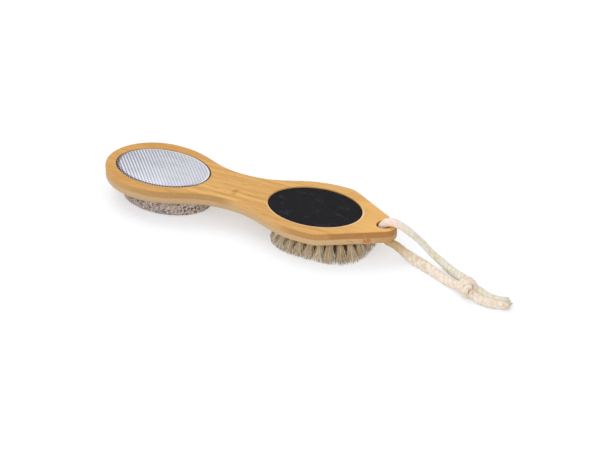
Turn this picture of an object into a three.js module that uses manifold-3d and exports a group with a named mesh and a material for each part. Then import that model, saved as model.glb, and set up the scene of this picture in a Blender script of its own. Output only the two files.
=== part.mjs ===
// Bamboo foot-care paddle: steel rasp and emery pad above, pumice and brush below, cotton hanging rope.
// Lengths are in millimetres. X runs from the rear end to the rope hole, Y runs across the handle, and
// Z is up from the surface that the paddle lies on. The origin is under the middle of the handle.

import * as THREE from "three";
import { mergeGeometries, mergeVertices } from "three/addons/utils/BufferGeometryUtils.js";
import Module from "manifold-3d";

const wasm = await Module();
wasm.setup();

// Fits that all the pieces share
const fitGap = 0.3;
const glueFilm = 0.05;
const cutOverrun = 2;

// Bamboo boards
const topPly = 5.2;
const bottomPly = 6;
const topRimRadius = 1;
const bottomRimRadius = 3;
const standingHeight = 13.6;
const rearEndWood = 7.85;
const rearRimWood = 8.6;
const rearCrestLead = 4.75;
const rearNeck = 65;
const waistHalfWidth = 18.2;
const frontNeck = 70;
const frontCrestLead = 5;
const frontRimWood = 8.9;
const shoulderLength = 18;
const shoulderDrop = 4.2;
const padToHoleWood = 13.9;
const ropeHoleRadius = 5.4;
const ropeHoleMouth = 0.9;
const tipWood = 4.2;
const neckHandleShare = 0.46;
const roundShare = 0.5523;
const shoulderHandleShare = 0.5;

// Steel rasp plate
const raspHalfLength = 37.4;
const raspHalfWidth = 25.2;
const raspPocketDepth = 1.8;
const raspRimRecess = 0.35;
const raspSheet = 0.6;
const raspRimBand = 1.5;
const raspRimRound = 0.4;
const raspDomeRise = 1.2;
const toothPitch = 2.9;
const toothRowPitch = 1.71;
const toothLength = 1.7;
const toothWidth = 1.15;
const toothHeight = 0.45;
const toothRoot = 0.15;
const toothLean = 0.35;
const toothSides = 3;

// Emery sheet on its foam
const emeryHalfLength = 35.9;
const emeryHalfWidth = 25.7;
const emeryRecess = 0.9;
const emerySheet = 0.8;
const emeryFoam = 1;

// Pumice stone
const pumiceHalfLength = 35.7;
const pumiceHalfWidth = 25.6;
const pumiceLead = 3.2;
const pumicePocketDepth = 3;
const pumiceGlue = 0.6;
const pumiceRound = 1.8;

// Brush board, drawing wires and hair
const brushHalfLength = 35.5;
const brushHalfWidth = 25;
const brushLead = 6.2;
const brushBoard = 2.4;
const brushSlice = 0.9;
const wireRadius = 0.35;
const wireEndGap = 4;
const tuftPitch = 6.9;
const tuftRingPitch = 6.6;
const tuftEdge = 3.2;
const tuftRootRadius = 1.25;
const tuftTipRadius = 3;
const hairRootRadius = 0.5;
const hairTipRadius = 0.42;
const hairSplay = 5.5;
const hairsInTuft = 5;
const hairSides = 3;

// Cotton rope
const ropeRadius = 2.7;
const ropeClearance = 0.3;
const ropeRearSpace = 1.1;
const ropeBendSpace = 0.8;
const ropeStep = 5.4;
const ropeSides = 10;
const knotCore = new THREE.Vector3(8.2, 7, 6.4);
const knotWrapRadius = 4.6;
const knotWrapSpacing = 5.4;
const knotWrapTilt = 0.3;
const knotTurn = -0.62;

// Facets of the round forms
const ovalSteps = 24;
const outlineSteps = 9;
const roundSteps = 2;
const domeRings = 3;
const domeSteps = 40;
const holeSteps = 24;
const wireSteps = 20;
const wireSides = 4;
const knotSteps = 16;

// Places that follow from the sizes, measured along the handle from its rear end
const raspAt = rearEndWood + raspHalfLength;
const rearCrestAt = raspAt - rearCrestLead;
const waistAt = rearCrestAt + rearNeck;
const frontCrestAt = waistAt + frontNeck;
const emeryAt = frontCrestAt - frontCrestLead;
const ropeHoleAt = emeryAt + emeryHalfLength + padToHoleWood + ropeHoleRadius;
const tipRadius = ropeHoleRadius + tipWood;
const handleLength = ropeHoleAt + tipRadius;
const fromRear = (distance) => distance - handleLength / 2;

const raspX = fromRear(raspAt);
const pumiceX = raspX + pumiceLead;
const emeryX = fromRear(emeryAt);
const brushX = emeryX + brushLead;
const ropeHoleX = fromRear(ropeHoleAt);

// Levels that follow from the sizes
const underside = standingHeight;
const glueLine = underside + bottomPly;
const topFace = glueLine + topPly;
const handleThickness = topFace - underside;
const handleMiddle = underside + handleThickness / 2;
const raspFloor = topFace - raspPocketDepth;
const raspRimTop = topFace - raspRimRecess;
const emeryFloor = topFace - emeryRecess - emerySheet - emeryFoam - 2 * glueFilm;
const pumiceCeiling = underside + pumicePocketDepth;
const brushBoardBottom = underside + brushSlice;
const brushBoardTop = brushBoardBottom + brushBoard;
const brushCeiling = brushBoardTop + 2 * wireRadius + 2 * glueFilm;

// A closed three.js geometry as a solid that can be joined and cut.
function solidOf(geometry) {
  const bare = geometry.clone();
  bare.deleteAttribute("normal");
  bare.deleteAttribute("uv");
  const merged = mergeVertices(bare);
  return new wasm.Manifold(
    new wasm.Mesh({
      numProp: 3,
      vertProperties: merged.attributes.position.array,
      triVerts: new Uint32Array(merged.index.array),
    }),
  );
}

// A solid back as a three.js geometry with shading normals.
function geometryOf(solid) {
  const mesh = solid.getMesh();
  const geometry = new THREE.BufferGeometry();
  geometry.setAttribute("position", new THREE.BufferAttribute(mesh.vertProperties, mesh.numProp));
  geometry.setIndex(new THREE.BufferAttribute(mesh.triVerts, 1));
  geometry.computeVertexNormals();
  return geometry;
}

function finish(color, roughness, metalness = 0) {
  return new THREE.MeshStandardMaterial({ color, roughness, metalness });
}

function piece(name, solid, material) {
  const mesh = new THREE.Mesh(geometryOf(solid), material);
  mesh.name = name;
  return mesh;
}

// A flat outline raised from one level, with both rims rounded by the given radius.
function slab(shape, bottom, height, round = 0) {
  const geometry = new THREE.ExtrudeGeometry(shape, {
    depth: height - 2 * round,
    curveSegments: ovalSteps,
    bevelEnabled: round > 0,
    bevelThickness: round,
    bevelSize: round,
    bevelOffset: -round,
    bevelSegments: roundSteps,
  });
  return geometry.translate(0, 0, bottom + round);
}

function oval(halfLength, halfWidth) {
  return new THREE.Shape().absellipse(0, 0, halfLength, halfWidth, 0, 2 * Math.PI);
}

function ovalSlab(x, halfLength, halfWidth, bottom, height, round = 0) {
  return slab(oval(halfLength, halfWidth), bottom, height, round).translate(x, 0, 0);
}

// A profile of radius and height turned about the vertical axis.
function turned(profile, steps) {
  return new THREE.LatheGeometry(profile, steps).rotateX(Math.PI / 2);
}

// Where the straight flank from the shoulder touches the round tip.
function flankTouch(shoulder) {
  const reach = new THREE.Vector2(ropeHoleX - shoulder.x, -shoulder.y);
  const heading = Math.atan2(reach.y, reach.x) + Math.asin(tipRadius / reach.length());
  return { heading, angle: heading + Math.PI / 2 };
}

// One side of the handle from the rear end to the tip: two swelling lobes, a waist and a straight flank.
function handleSide() {
  const rear = new THREE.Vector2(fromRear(0), 0);
  const rearCrest = new THREE.Vector2(fromRear(rearCrestAt), raspHalfWidth + rearRimWood);
  const waist = new THREE.Vector2(fromRear(waistAt), waistHalfWidth);
  const frontCrest = new THREE.Vector2(fromRear(frontCrestAt), emeryHalfWidth + frontRimWood);
  const shoulder = new THREE.Vector2(frontCrest.x + shoulderLength, frontCrest.y - shoulderDrop);
  const { heading, angle } = flankTouch(shoulder);
  const rearRound = roundShare * (rearCrest.x - rear.x);
  const rearPull = neckHandleShare * rearNeck;
  const frontPull = neckHandleShare * frontNeck;
  const shoulderPull = shoulderHandleShare * shoulderLength;
  const side = new THREE.Path();
  side.moveTo(rear.x, rear.y);
  side.bezierCurveTo(
    rear.x, roundShare * rearCrest.y,
    rearCrest.x - rearRound, rearCrest.y,
    rearCrest.x, rearCrest.y,
  );
  side.bezierCurveTo(
    rearCrest.x + rearPull, rearCrest.y,
    waist.x - rearPull, waist.y,
    waist.x, waist.y,
  );
  side.bezierCurveTo(
    waist.x + frontPull, waist.y,
    frontCrest.x - frontPull, frontCrest.y,
    frontCrest.x, frontCrest.y,
  );
  side.bezierCurveTo(
    frontCrest.x + shoulderPull, frontCrest.y,
    shoulder.x - shoulderPull * Math.cos(heading), shoulder.y - shoulderPull * Math.sin(heading),
    shoulder.x, shoulder.y,
  );
  side.lineTo(ropeHoleX + tipRadius * Math.cos(angle), tipRadius * Math.sin(angle));
  side.absarc(ropeHoleX, 0, tipRadius, angle, 0, true);
  return side.getPoints(outlineSteps);
}

function handleShape() {
  const side = handleSide();
  const mirrored = side.slice(1, -1).map((point) => new THREE.Vector2(point.x, -point.y));
  return new THREE.Shape([...side, ...mirrored.reverse()]);
}

// The rope hole through both boards, with softened mouths.
function ropeHole() {
  const wide = ropeHoleRadius + ropeHoleMouth;
  const profile = [
    new THREE.Vector2(0, underside - cutOverrun),
    new THREE.Vector2(wide, underside - cutOverrun),
    new THREE.Vector2(wide, underside),
    new THREE.Vector2(ropeHoleRadius, underside + ropeHoleMouth),
    new THREE.Vector2(ropeHoleRadius, topFace - ropeHoleMouth),
    new THREE.Vector2(wide, topFace),
    new THREE.Vector2(wide, topFace + cutOverrun),
    new THREE.Vector2(0, topFace + cutOverrun),
  ];
  return solidOf(turned(profile, holeSteps).translate(ropeHoleX, 0, 0));
}

// An oval pocket sunk from one level to another, a fit wider than what it holds.
function pocket(x, halfLength, halfWidth, bottom, top) {
  return solidOf(ovalSlab(x, halfLength + fitGap, halfWidth + fitGap, bottom, top - bottom));
}

// The blank of both boards with rounded rims, cut down to what lies above (1) or below (-1) their seam.
function ply(rimRadius, side) {
  const outline = handleShape();
  const blank = solidOf(slab(outline, underside, handleThickness, rimRadius)).subtract(ropeHole());
  const other = new THREE.BoxGeometry(2 * handleLength, handleLength, 2 * handleThickness);
  return blank.subtract(solidOf(other.translate(0, 0, glueLine - side * handleThickness)));
}

function bambooPlies() {
  const top = ply(topRimRadius, 1)
    .subtract(pocket(raspX, raspHalfLength, raspHalfWidth, raspFloor, topFace + cutOverrun))
    .subtract(pocket(emeryX, emeryHalfLength, emeryHalfWidth, emeryFloor, topFace + cutOverrun));
  const bottom = ply(bottomRimRadius, -1)
    .subtract(pocket(pumiceX, pumiceHalfLength, pumiceHalfWidth, underside - cutOverrun, pumiceCeiling))
    .subtract(pocket(brushX, brushHalfLength, brushHalfWidth, underside - cutOverrun, brushCeiling));
  return [
    piece("bamboo_top_ply", top, finish(0xd9a75f, 0.5)),
    piece("bamboo_bottom_ply", bottom, finish(0xdcb27c, 0.5)),
  ];
}

// The upper surface of the rasp plate over its pocket floor, at a share of the way from its middle.
function domeHeight(share) {
  return raspRimTop - raspFloor + raspDomeRise * (1 - share * share);
}

const raspFieldWidth = raspHalfWidth - raspRimBand;
const raspFieldLength = raspHalfLength - raspRimBand;

// The pressed sheet: a shallow dome, a flat rim and an edge turned down to the pocket floor.
function raspShell() {
  const rimTop = domeHeight(1);
  const inner = raspHalfWidth - raspSheet;
  const shares = Array.from({ length: domeRings + 1 }, (_, i) => i / domeRings);
  const over = shares.map((s) => new THREE.Vector2(s * raspFieldWidth, domeHeight(s)));
  const under = shares.map((s) => new THREE.Vector2(s * raspFieldWidth, domeHeight(s) - raspSheet));
  const profile = [
    ...under,
    new THREE.Vector2(inner, rimTop - raspSheet),
    new THREE.Vector2(inner, glueFilm),
    new THREE.Vector2(raspHalfWidth, glueFilm),
    new THREE.Vector2(raspHalfWidth, rimTop - raspRimRound),
    new THREE.Vector2(raspHalfWidth - raspRimRound, rimTop),
    ...over.reverse(),
  ];
  return turned(profile, domeSteps).scale(raspHalfLength / raspHalfWidth, 1, 1);
}

// One tooth: a low three-sided point that leans along the handle, rooted a little inside the sheet.
function raspTooth() {
  const height = toothHeight + toothRoot;
  const tooth = new THREE.ConeGeometry(toothWidth / 2, height, toothSides, 1).rotateX(Math.PI / 2);
  const lean = new THREE.Matrix4().set(
    1, 0, toothLean / height, 0,
    0, 1, 0, 0,
    0, 0, 1, 0,
    0, 0, 0, 1,
  );
  return tooth.scale(toothLength / toothWidth, 1, 1).applyMatrix4(lean).translate(0, 0, height / 2 - toothRoot);
}

// Staggered rows of teeth all over the dome, as far as a whole tooth clears the rim.
function raspTeeth() {
  const pattern = raspTooth();
  const teeth = [];
  const rows = Math.floor(raspFieldWidth / toothRowPitch);
  const columns = Math.ceil(raspFieldLength / toothPitch);
  for (let row = -rows; row <= rows; row += 1) {
    const stagger = row % 2 === 0 ? 0 : toothPitch / 2;
    for (let column = -columns; column <= columns; column += 1) {
      const x = column * toothPitch + stagger;
      const y = row * toothRowPitch;
      const edge = Math.hypot(x / (raspFieldLength - toothLength), y / (raspFieldWidth - toothWidth));
      const share = Math.hypot(x / raspFieldLength, y / raspFieldWidth);
      if (edge < 1) teeth.push(pattern.clone().translate(x, y, domeHeight(share)));
    }
  }
  return mergeGeometries(teeth);
}

function raspPieces() {
  const plate = solidOf(raspShell()).add(solidOf(raspTeeth())).translate([raspX, 0, raspFloor]);
  const padLength = raspHalfLength - raspSheet * (raspHalfLength / raspHalfWidth) - fitGap;
  const padWidth = raspHalfWidth - raspSheet - fitGap;
  const padTop = domeHeight(1) - raspSheet - glueFilm;
  const pad = ovalSlab(raspX, padLength, padWidth, raspFloor + glueFilm, padTop - glueFilm);
  return [
    piece("steel_rasp_plate", plate, finish(0xc9c9d4, 0.32, 1)),
    piece("rasp_adhesive_pad", solidOf(pad), finish(0xd8d4c4, 0.8)),
  ];
}

function emeryPieces() {
  const foam = ovalSlab(emeryX, emeryHalfLength, emeryHalfWidth, emeryFloor + glueFilm, emeryFoam);
  const sheetBottom = emeryFloor + emeryFoam + 2 * glueFilm;
  const sheet = ovalSlab(emeryX, emeryHalfLength, emeryHalfWidth, sheetBottom, emerySheet);
  return [
    piece("emery_sheet", solidOf(sheet), finish(0x242428, 0.75)),
    piece("emery_foam_backing", solidOf(foam), finish(0x3a3a3d, 0.9)),
  ];
}

function pumicePieces() {
  const stoneTop = pumiceCeiling - pumiceGlue - glueFilm;
  const stone = ovalSlab(pumiceX, pumiceHalfLength, pumiceHalfWidth, 0, stoneTop, pumiceRound);
  const bedLength = pumiceHalfLength - pumiceRound;
  const bedWidth = pumiceHalfWidth - pumiceRound;
  const bed = ovalSlab(pumiceX, bedLength, bedWidth, stoneTop + glueFilm, pumiceGlue - glueFilm);
  return [
    piece("pumice_stone", solidOf(stone), finish(0xa9958b, 0.95)),
    piece("pumice_glue_bed", solidOf(bed), finish(0xe6dcc0, 0.6)),
  ];
}

// The rings of tufts, as half length, half width and the number of tufts in each.
function tuftRings() {
  const rings = [];
  for (let inset = tuftEdge; inset < brushHalfWidth - tuftEdge / 2; inset += tuftRingPitch) {
    const halfLength = brushHalfLength - inset;
    const halfWidth = brushHalfWidth - inset;
    const around = Math.PI * Math.hypot(halfLength, halfWidth) * Math.SQRT2;
    rings.push({ halfLength, halfWidth, count: Math.round(around / tuftPitch) });
  }
  return rings;
}

// Points along an ellipse at equal steps of its own length.
function ringPoints({ halfLength, halfWidth, count }) {
  const ring = new THREE.EllipseCurve(0, 0, halfLength, halfWidth, 0, 2 * Math.PI);
  return ring.getSpacedPoints(count).slice(0, count);
}

// One hair as a slim prism from its root in the board to its trimmed end on the floor.
function hair(root, end, rise) {
  const prism = new THREE.CylinderGeometry(hairRootRadius, hairTipRadius, 1, hairSides, 1);
  prism.rotateX(Math.PI / 2).translate(0, 0, 1 / 2);
  const lay = new THREE.Matrix4().set(
    1, 0, root.x - end.x, end.x,
    0, 1, root.y - end.y, end.y,
    0, 0, rise, 0,
    0, 0, 0, 1,
  );
  return prism.applyMatrix4(lay);
}

// All tufts: each ring leans outwards a little, and each tuft opens from its hole to its end.
function tuftHairs() {
  const hairs = [];
  const rise = underside + brushSlice / 2;
  const splay = new THREE.Vector2(hairSplay / brushHalfLength, hairSplay / brushHalfWidth);
  for (const ring of tuftRings()) {
    for (const [index, centre] of ringPoints(ring).entries()) {
      const lean = centre.clone().multiply(splay);
      for (let strand = 0; strand < hairsInTuft; strand += 1) {
        const angle = (2 * Math.PI * strand) / hairsInTuft + index;
        const ray = new THREE.Vector2(Math.cos(angle), Math.sin(angle));
        const root = centre.clone().addScaledVector(ray, tuftRootRadius);
        const end = centre.clone().add(lean).addScaledVector(ray, tuftTipRadius);
        hairs.push(hair(root, end, rise));
      }
    }
  }
  return mergeGeometries(hairs);
}

// A tube of even section along a curve.
function tube(curve, radius, steps, sides) {
  const section = new THREE.Shape(new THREE.EllipseCurve(0, 0, radius, radius).getPoints(sides).slice(0, sides));
  return new THREE.ExtrudeGeometry(section, { steps, bevelEnabled: false, extrudePath: curve });
}

// The wire behind one ring of tufts, open where its two ends meet.
class RingWire extends THREE.Curve {
  constructor(halfLength, halfWidth, height) {
    super();
    Object.assign(this, { halfLength, halfWidth, height });
  }

  getPoint(t, target = new THREE.Vector3()) {
    const open = wireEndGap / this.halfLength;
    const angle = open / 2 + t * (2 * Math.PI - open);
    return target.set(this.halfLength * Math.cos(angle), this.halfWidth * Math.sin(angle), this.height);
  }
}

function brushPieces() {
  const slice = ovalSlab(0, brushHalfLength, brushHalfWidth, underside, brushSlice - glueFilm);
  const field = solidOf(tuftHairs()).add(solidOf(slice)).translate([brushX, 0, 0]);
  const board = ovalSlab(brushX, brushHalfLength, brushHalfWidth, brushBoardBottom, brushBoard);
  const wires = tuftRings().map(({ halfLength, halfWidth }, index) => {
    const path = new RingWire(halfLength, halfWidth, brushBoardTop + wireRadius + glueFilm);
    const wire = solidOf(tube(path, wireRadius, wireSteps, wireSides).translate(brushX, 0, 0));
    return piece(`tuft_wire_${index + 1}`, wire, finish(0xb8b8b8, 0.35, 1));
  });
  return [
    piece("bristle_field", field, finish(0xb59c7c, 0.8)),
    piece("brush_board", solidOf(board), finish(0xcfa878, 0.7)),
    ...wires,
  ];
}

// The bend round the tip that both strands share, from the middle of the hole.
const bendRadius = handleThickness / 2 + ropeRadius + ropeBendSpace;
const bendX = ropeHoleX - ropeHoleRadius + ropeRearSpace + ropeRadius + bendRadius;
const bendShares = [1.25, 1, 0.75, 0.5, 0.25, 0];

function bendPoints(side) {
  return bendShares.map((share) => {
    const angle = (share * Math.PI) / 2;
    const x = bendX - bendRadius * Math.sin(angle);
    return new THREE.Vector3(x, 0, handleMiddle + side * bendRadius * Math.cos(angle));
  });
}

// The rope's free route, chosen by hand on the surface that the paddle lies on.
const upperRoute = [
  [121.5, -0.4, 27.4],
  [126.2, -0.4, 25.4],
  [131, 0, 22.4],
  [136.6, 0.3, 18.4],
  [142, 0.3, 14],
  [147.6, 0, 9.8],
  [153.8, -0.8, 6.6],
  [161.5, -4.2, 4.6],
  [169.5, -9, 4.7],
  [176.2, -14.4, 7],
  [181.4, -18.9, 8.3],
];
const lowerRoute = [
  [120.8, -0.8, 8.6],
  [126, -1.6, 6.1],
  [132.4, -2.6, 3.8],
  [139.7, -4.6, 2.9],
  [148.5, -8.6, 2.9],
  [158, -13.4, 2.9],
  [166.4, -17.6, 2.9],
  [173, -20.9, 4],
  [178.2, -23.4, 5.9],
];
const frontTailRoute = [
  [191.2, -27.6, 3.9],
  [197, -29.5, 3],
  [203, -30.3, 2.9],
  [211, -29.6, 2.9],
  [218.5, -28, 2.9],
];
const backTailRoute = [
  [192.2, -21.8, 4.8],
  [198, -23.6, 3.4],
  [204.5, -24.5, 2.9],
  [211.5, -23.8, 2.9],
  [217, -22.5, 2.9],
];
const knotCentre = new THREE.Vector3(184.4, -24.2, 7.4);

function routeCurve(points) {
  return new THREE.CatmullRomCurve3(points, false, "centripetal");
}

function strandCurve(side, route) {
  return routeCurve([...bendPoints(side), ...route.map((point) => new THREE.Vector3(...point))]);
}

function ropeTube(curve, radius) {
  const steps = Math.round(curve.getLength() / ropeStep);
  return solidOf(tube(curve, radius, steps, ropeSides));
}

// The space that a length of rope needs in the knot, with a clearance round it and at both ends.
function ropeSocket(curve) {
  const points = curve.getSpacedPoints(Math.round(curve.getLength() / ropeStep));
  points.at(0).addScaledVector(curve.getTangent(0), -ropeClearance);
  points.at(-1).addScaledVector(curve.getTangent(1), ropeClearance);
  return ropeTube(routeCurve(points), ropeRadius + ropeClearance);
}

// The block that ends a strand square in the middle of the hole, short of the other strand.
function strandEnd(side) {
  const size = 2 * bendRadius;
  const middle = handleMiddle - (side * (size - ropeClearance)) / 2;
  return solidOf(new THREE.BoxGeometry(size, size, size).translate(bendX - bendRadius, 0, middle));
}

// The knot: a round core with two wraps about it, hollowed where strands and tails run in.
function knotSolid(sockets) {
  const core = new THREE.SphereGeometry(1, knotSteps, knotSteps / 2);
  core.scale(knotCore.x, knotCore.y, knotCore.z);
  let knot = solidOf(core);
  for (const side of [-1, 1]) {
    const wrap = new THREE.TorusGeometry(knotWrapRadius, ropeRadius, knotSteps / 2, knotSteps);
    wrap.rotateY(Math.PI / 2 + side * knotWrapTilt).translate((side * knotWrapSpacing) / 2, 0, 0);
    knot = knot.add(solidOf(wrap));
  }
  const placed = solidOf(geometryOf(knot).rotateZ(knotTurn).translate(knotCentre.x, knotCentre.y, knotCentre.z));
  return sockets.reduce((left, socket) => left.subtract(socket), placed);
}

function ropePieces() {
  const strands = [
    strandCurve(1, upperRoute),
    strandCurve(-1, lowerRoute),
    ...[frontTailRoute, backTailRoute].map((route) => routeCurve(route.map((p) => new THREE.Vector3(...p)))),
  ];
  const [upper, lower, front, back] = strands.map((curve) => ropeTube(curve, ropeRadius));
  const sockets = strands.map(ropeSocket);
  const cotton = () => finish(0xeadfc6, 0.9);
  return [
    piece("rope_upper_strand", upper.subtract(strandEnd(1)), cotton()),
    piece("rope_lower_strand", lower.subtract(strandEnd(-1)), cotton()),
    piece("rope_knot", knotSolid(sockets), cotton()),
    piece("rope_tail_front", front, cotton()),
    piece("rope_tail_back", back, cotton()),
  ];
}

const paddle = new THREE.Group();
paddle.add(...bambooPlies(), ...raspPieces(), ...emeryPieces(), ...pumicePieces(), ...brushPieces());
const ropeLoop = new THREE.Group();
ropeLoop.add(...ropePieces());
paddle.add(ropeLoop);

export default paddle;
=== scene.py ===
"""The visible surfaces of a bamboo foot-care paddle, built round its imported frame.

Lengths are metres. X runs along the handle from the rear end to the rope hole, Y runs across it and
Z is up from the surface that the paddle lies on.
"""
import logging
import math
import random
from abc import ABC, abstractmethod
from collections.abc import Iterable, Mapping, Sequence
from dataclasses import dataclass, field, replace
from enum import Enum
from functools import cache
from itertools import pairwise

import bmesh
import bpy
from bmesh.types import BMEdge, BMFace, BMVert
from mathutils import Matrix, Vector, geometry, noise


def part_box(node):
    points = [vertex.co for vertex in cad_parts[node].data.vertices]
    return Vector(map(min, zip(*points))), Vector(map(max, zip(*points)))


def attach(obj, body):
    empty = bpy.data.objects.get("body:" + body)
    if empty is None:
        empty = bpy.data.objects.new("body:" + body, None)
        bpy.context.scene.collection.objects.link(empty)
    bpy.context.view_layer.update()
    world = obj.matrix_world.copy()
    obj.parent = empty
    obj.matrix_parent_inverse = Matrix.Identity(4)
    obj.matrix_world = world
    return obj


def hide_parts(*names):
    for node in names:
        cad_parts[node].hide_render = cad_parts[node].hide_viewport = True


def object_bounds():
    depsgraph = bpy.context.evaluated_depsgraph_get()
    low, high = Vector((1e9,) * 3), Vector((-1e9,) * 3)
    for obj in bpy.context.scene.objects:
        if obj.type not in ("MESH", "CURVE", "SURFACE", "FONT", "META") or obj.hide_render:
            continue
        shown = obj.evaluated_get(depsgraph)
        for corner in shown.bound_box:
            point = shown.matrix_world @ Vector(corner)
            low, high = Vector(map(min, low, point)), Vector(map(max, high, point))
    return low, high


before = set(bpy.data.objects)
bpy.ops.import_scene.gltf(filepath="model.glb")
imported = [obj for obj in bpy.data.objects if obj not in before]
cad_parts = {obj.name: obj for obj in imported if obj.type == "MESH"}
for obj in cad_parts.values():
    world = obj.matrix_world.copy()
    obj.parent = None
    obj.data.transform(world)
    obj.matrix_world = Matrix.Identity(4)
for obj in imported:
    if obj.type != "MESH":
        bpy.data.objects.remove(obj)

CAD_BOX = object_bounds()
MM = 0.001
SEED = 7
SAME_LEVEL = 0.01 * MM
SHARP_CREASE = math.radians(50)

Colour = tuple[float, float, float]
Span = tuple[float, float]
WHITE: Colour = (1.0, 1.0, 1.0)
log = logging.getLogger("paddle")


class Body(Enum):
    """The bodies that pieces ride on."""

    HANDLE = "handle"
    ROPE_LOOP = "rope_loop"


class Slot(Enum):
    """The record's material slots."""

    BAMBOO_DARK = "bamboo_dark"
    BAMBOO_PALE = "bamboo_pale"
    RASP_STEEL = "rasp_steel"
    ADHESIVE = "adhesive"
    EMERY = "emery"
    FOAM = "foam"
    PUMICE = "pumice"
    BRISTLE = "bristle"
    TUFT_WIRE = "tuft_wire"
    COTTON_ROPE = "cotton_rope"


def display(red: int, green: int, blue: int) -> Colour:
    """Turns a colour as a screen shows it into the linear values that shaders use.

    Args:
        red: Red from 0 to 255.
        green: Green from 0 to 255.
        blue: Blue from 0 to 255.

    Returns:
        The linear colour.
    """
    def linear(value: int) -> float:
        """One channel, by the screen's own curve."""
        share = value / 255
        return share / 12.92 if share <= 0.04045 else ((share + 0.055) / 1.055) ** 2.4

    return linear(red), linear(green), linear(blue)


def node_box(name: str) -> tuple[Vector, Vector]:
    """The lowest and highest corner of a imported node, as vectors."""
    low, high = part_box(name)
    return Vector(low), Vector(high)


class Wire:
    """An output socket on which Python's arithmetic adds Math nodes."""

    def __init__(self, bench: "ShaderBench", socket: bpy.types.NodeSocket) -> None:
        """Wraps a socket that belongs to a bench's node tree."""
        self.bench = bench
        self.socket = socket

    def __add__(self, other: "Number") -> "Wire":
        """Adds."""
        return self.bench.maths("ADD", self, other)

    def __sub__(self, other: "Number") -> "Wire":
        """Takes the other value away."""
        return self.bench.maths("SUBTRACT", self, other)

    def __rsub__(self, other: "Number") -> "Wire":
        """Takes this value away from the other one."""
        return self.bench.maths("SUBTRACT", other, self)

    def __mul__(self, other: "Number") -> "Wire":
        """Multiplies."""
        return self.bench.maths("MULTIPLY", self, other)

    def __abs__(self) -> "Wire":
        """Drops the sign."""
        return self.bench.maths("ABSOLUTE", self)

    __radd__ = __add__
    __rmul__ = __mul__

    def most(self, other: "Number") -> "Wire":
        """The larger of two values."""
        return self.bench.maths("MAXIMUM", self, other)

    def root(self) -> "Wire":
        """The square root."""
        return self.bench.maths("SQRT", self)

    def cosine(self) -> "Wire":
        """The cosine of an angle."""
        return self.bench.maths("COSINE", self)

    def ramp(self, low: float, high: float) -> "Wire":
        """A smooth step from 0 at the low value to 1 at the high one, which may lie below it."""
        limits = {"From Min": low, "From Max": high, "Value": self}
        return self.bench.node("ShaderNodeMapRange", {"interpolation_type": "SMOOTHSTEP"}, limits)


Number = Wire | float
SocketValue = Wire | float | Sequence[float]


class ShaderBench:
    """A node tree on which a finish is put together."""

    def __init__(self, tree: bpy.types.NodeTree) -> None:
        """Starts with an empty tree."""
        self.tree = tree
        tree.nodes.clear()

    def node(
        self,
        kind: str,
        settings: Mapping[str, object] | None = None,
        sockets: Mapping[str | int, SocketValue] | None = None,
        output: str | int = 0,
    ) -> Wire | None:
        """Adds a node.

        Args:
            kind: The node's type.
            settings: Its properties, which are set first.
            sockets: The values or links of its input sockets, by name or number.
            output: The output socket that is wanted.

        Returns:
            The wanted output, or None for a node without outputs.
        """
        made = self.tree.nodes.new(kind)
        for name, value in (settings or {}).items():
            setattr(made, name, value)
        for name, value in (sockets or {}).items():
            socket = made.inputs[name]
            if isinstance(value, Wire):
                self.tree.links.new(value.socket, socket)
            elif socket.type == "RGBA":
                socket.default_value = (*value, 1.0)
            else:
                socket.default_value = value
        return Wire(self, made.outputs[output]) if made.outputs else None

    def maths(self, operation: str, *values: Number) -> Wire:
        """Adds a Math node on values or wires."""
        return self.node("ShaderNodeMath", {"operation": operation}, dict(enumerate(values)))

    def mix(self, share: Number, first: Wire | Colour, second: Wire | Colour) -> Wire:
        """Blends two colours, by the share of the second one that shows."""
        sockets = {0: share, 6: first, 7: second}
        return self.node("ShaderNodeMix", {"data_type": "RGBA"}, sockets, 2)

    def place(self) -> Wire:
        """Where a point of the surface lies in its object, in metres."""
        return self.node("ShaderNodeTexCoord", output="Object")

    def axis(self, vector: Wire, name: str) -> Wire:
        """One axis of a vector."""
        return self.node("ShaderNodeSeparateXYZ", sockets={0: vector}, output=name)

    def outward(self, place: Wire, oval: "Oval") -> tuple[Wire, Wire, Wire]:
        """How far out a point lies in an oval: along it, across it and in all, with 1 on its edge.

        Args:
            place: The point.
            oval: The oval.

        Returns:
            The three distances.
        """
        along = (self.axis(place, "X") - oval.centre_x) * (1 / oval.half_length)
        across = self.axis(place, "Y") * (1 / oval.half_width)
        return along, across, (along * along + across * across).root()

    def attribute(self, name: str, output: str = "Fac") -> Wire:
        """A value or vector that the mesh carries."""
        settings = {"attribute_type": "GEOMETRY", "attribute_name": name}
        return self.node("ShaderNodeAttribute", settings, output=output)

    def stretched(self, vector: Wire, grain: Sequence[float], shift: float = 0.0) -> Wire:
        """A vector in metres counted in grains, with a shift in grains that keeps two patterns apart."""
        sockets = {"Vector": vector, "Scale": [1 / size for size in grain], "Location": (shift,) * 3}
        return self.node("ShaderNodeMapping", sockets=sockets)

    def cloud(self, vector: Wire, detail: float = 2.0, roughness: float = 0.5) -> Wire:
        """Soft noise with one hump per grain."""
        sockets = {"Vector": vector, "Scale": 1.0, "Detail": detail, "Roughness": roughness}
        return self.node("ShaderNodeTexNoise", sockets=sockets)

    def cells(self, vector: Wire) -> Wire:
        """The distance to the nearest of scattered points, one per grain."""
        return self.node("ShaderNodeTexVoronoi", sockets={"Vector": vector, "Scale": 1.0})

    def relief(self, height: Wire, depth: float) -> Wire:
        """A normal from a height map from 0 to 1, whose full depth is in metres."""
        return self.node("ShaderNodeBump", sockets={"Strength": 1.0, "Distance": depth, "Height": height})


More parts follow.
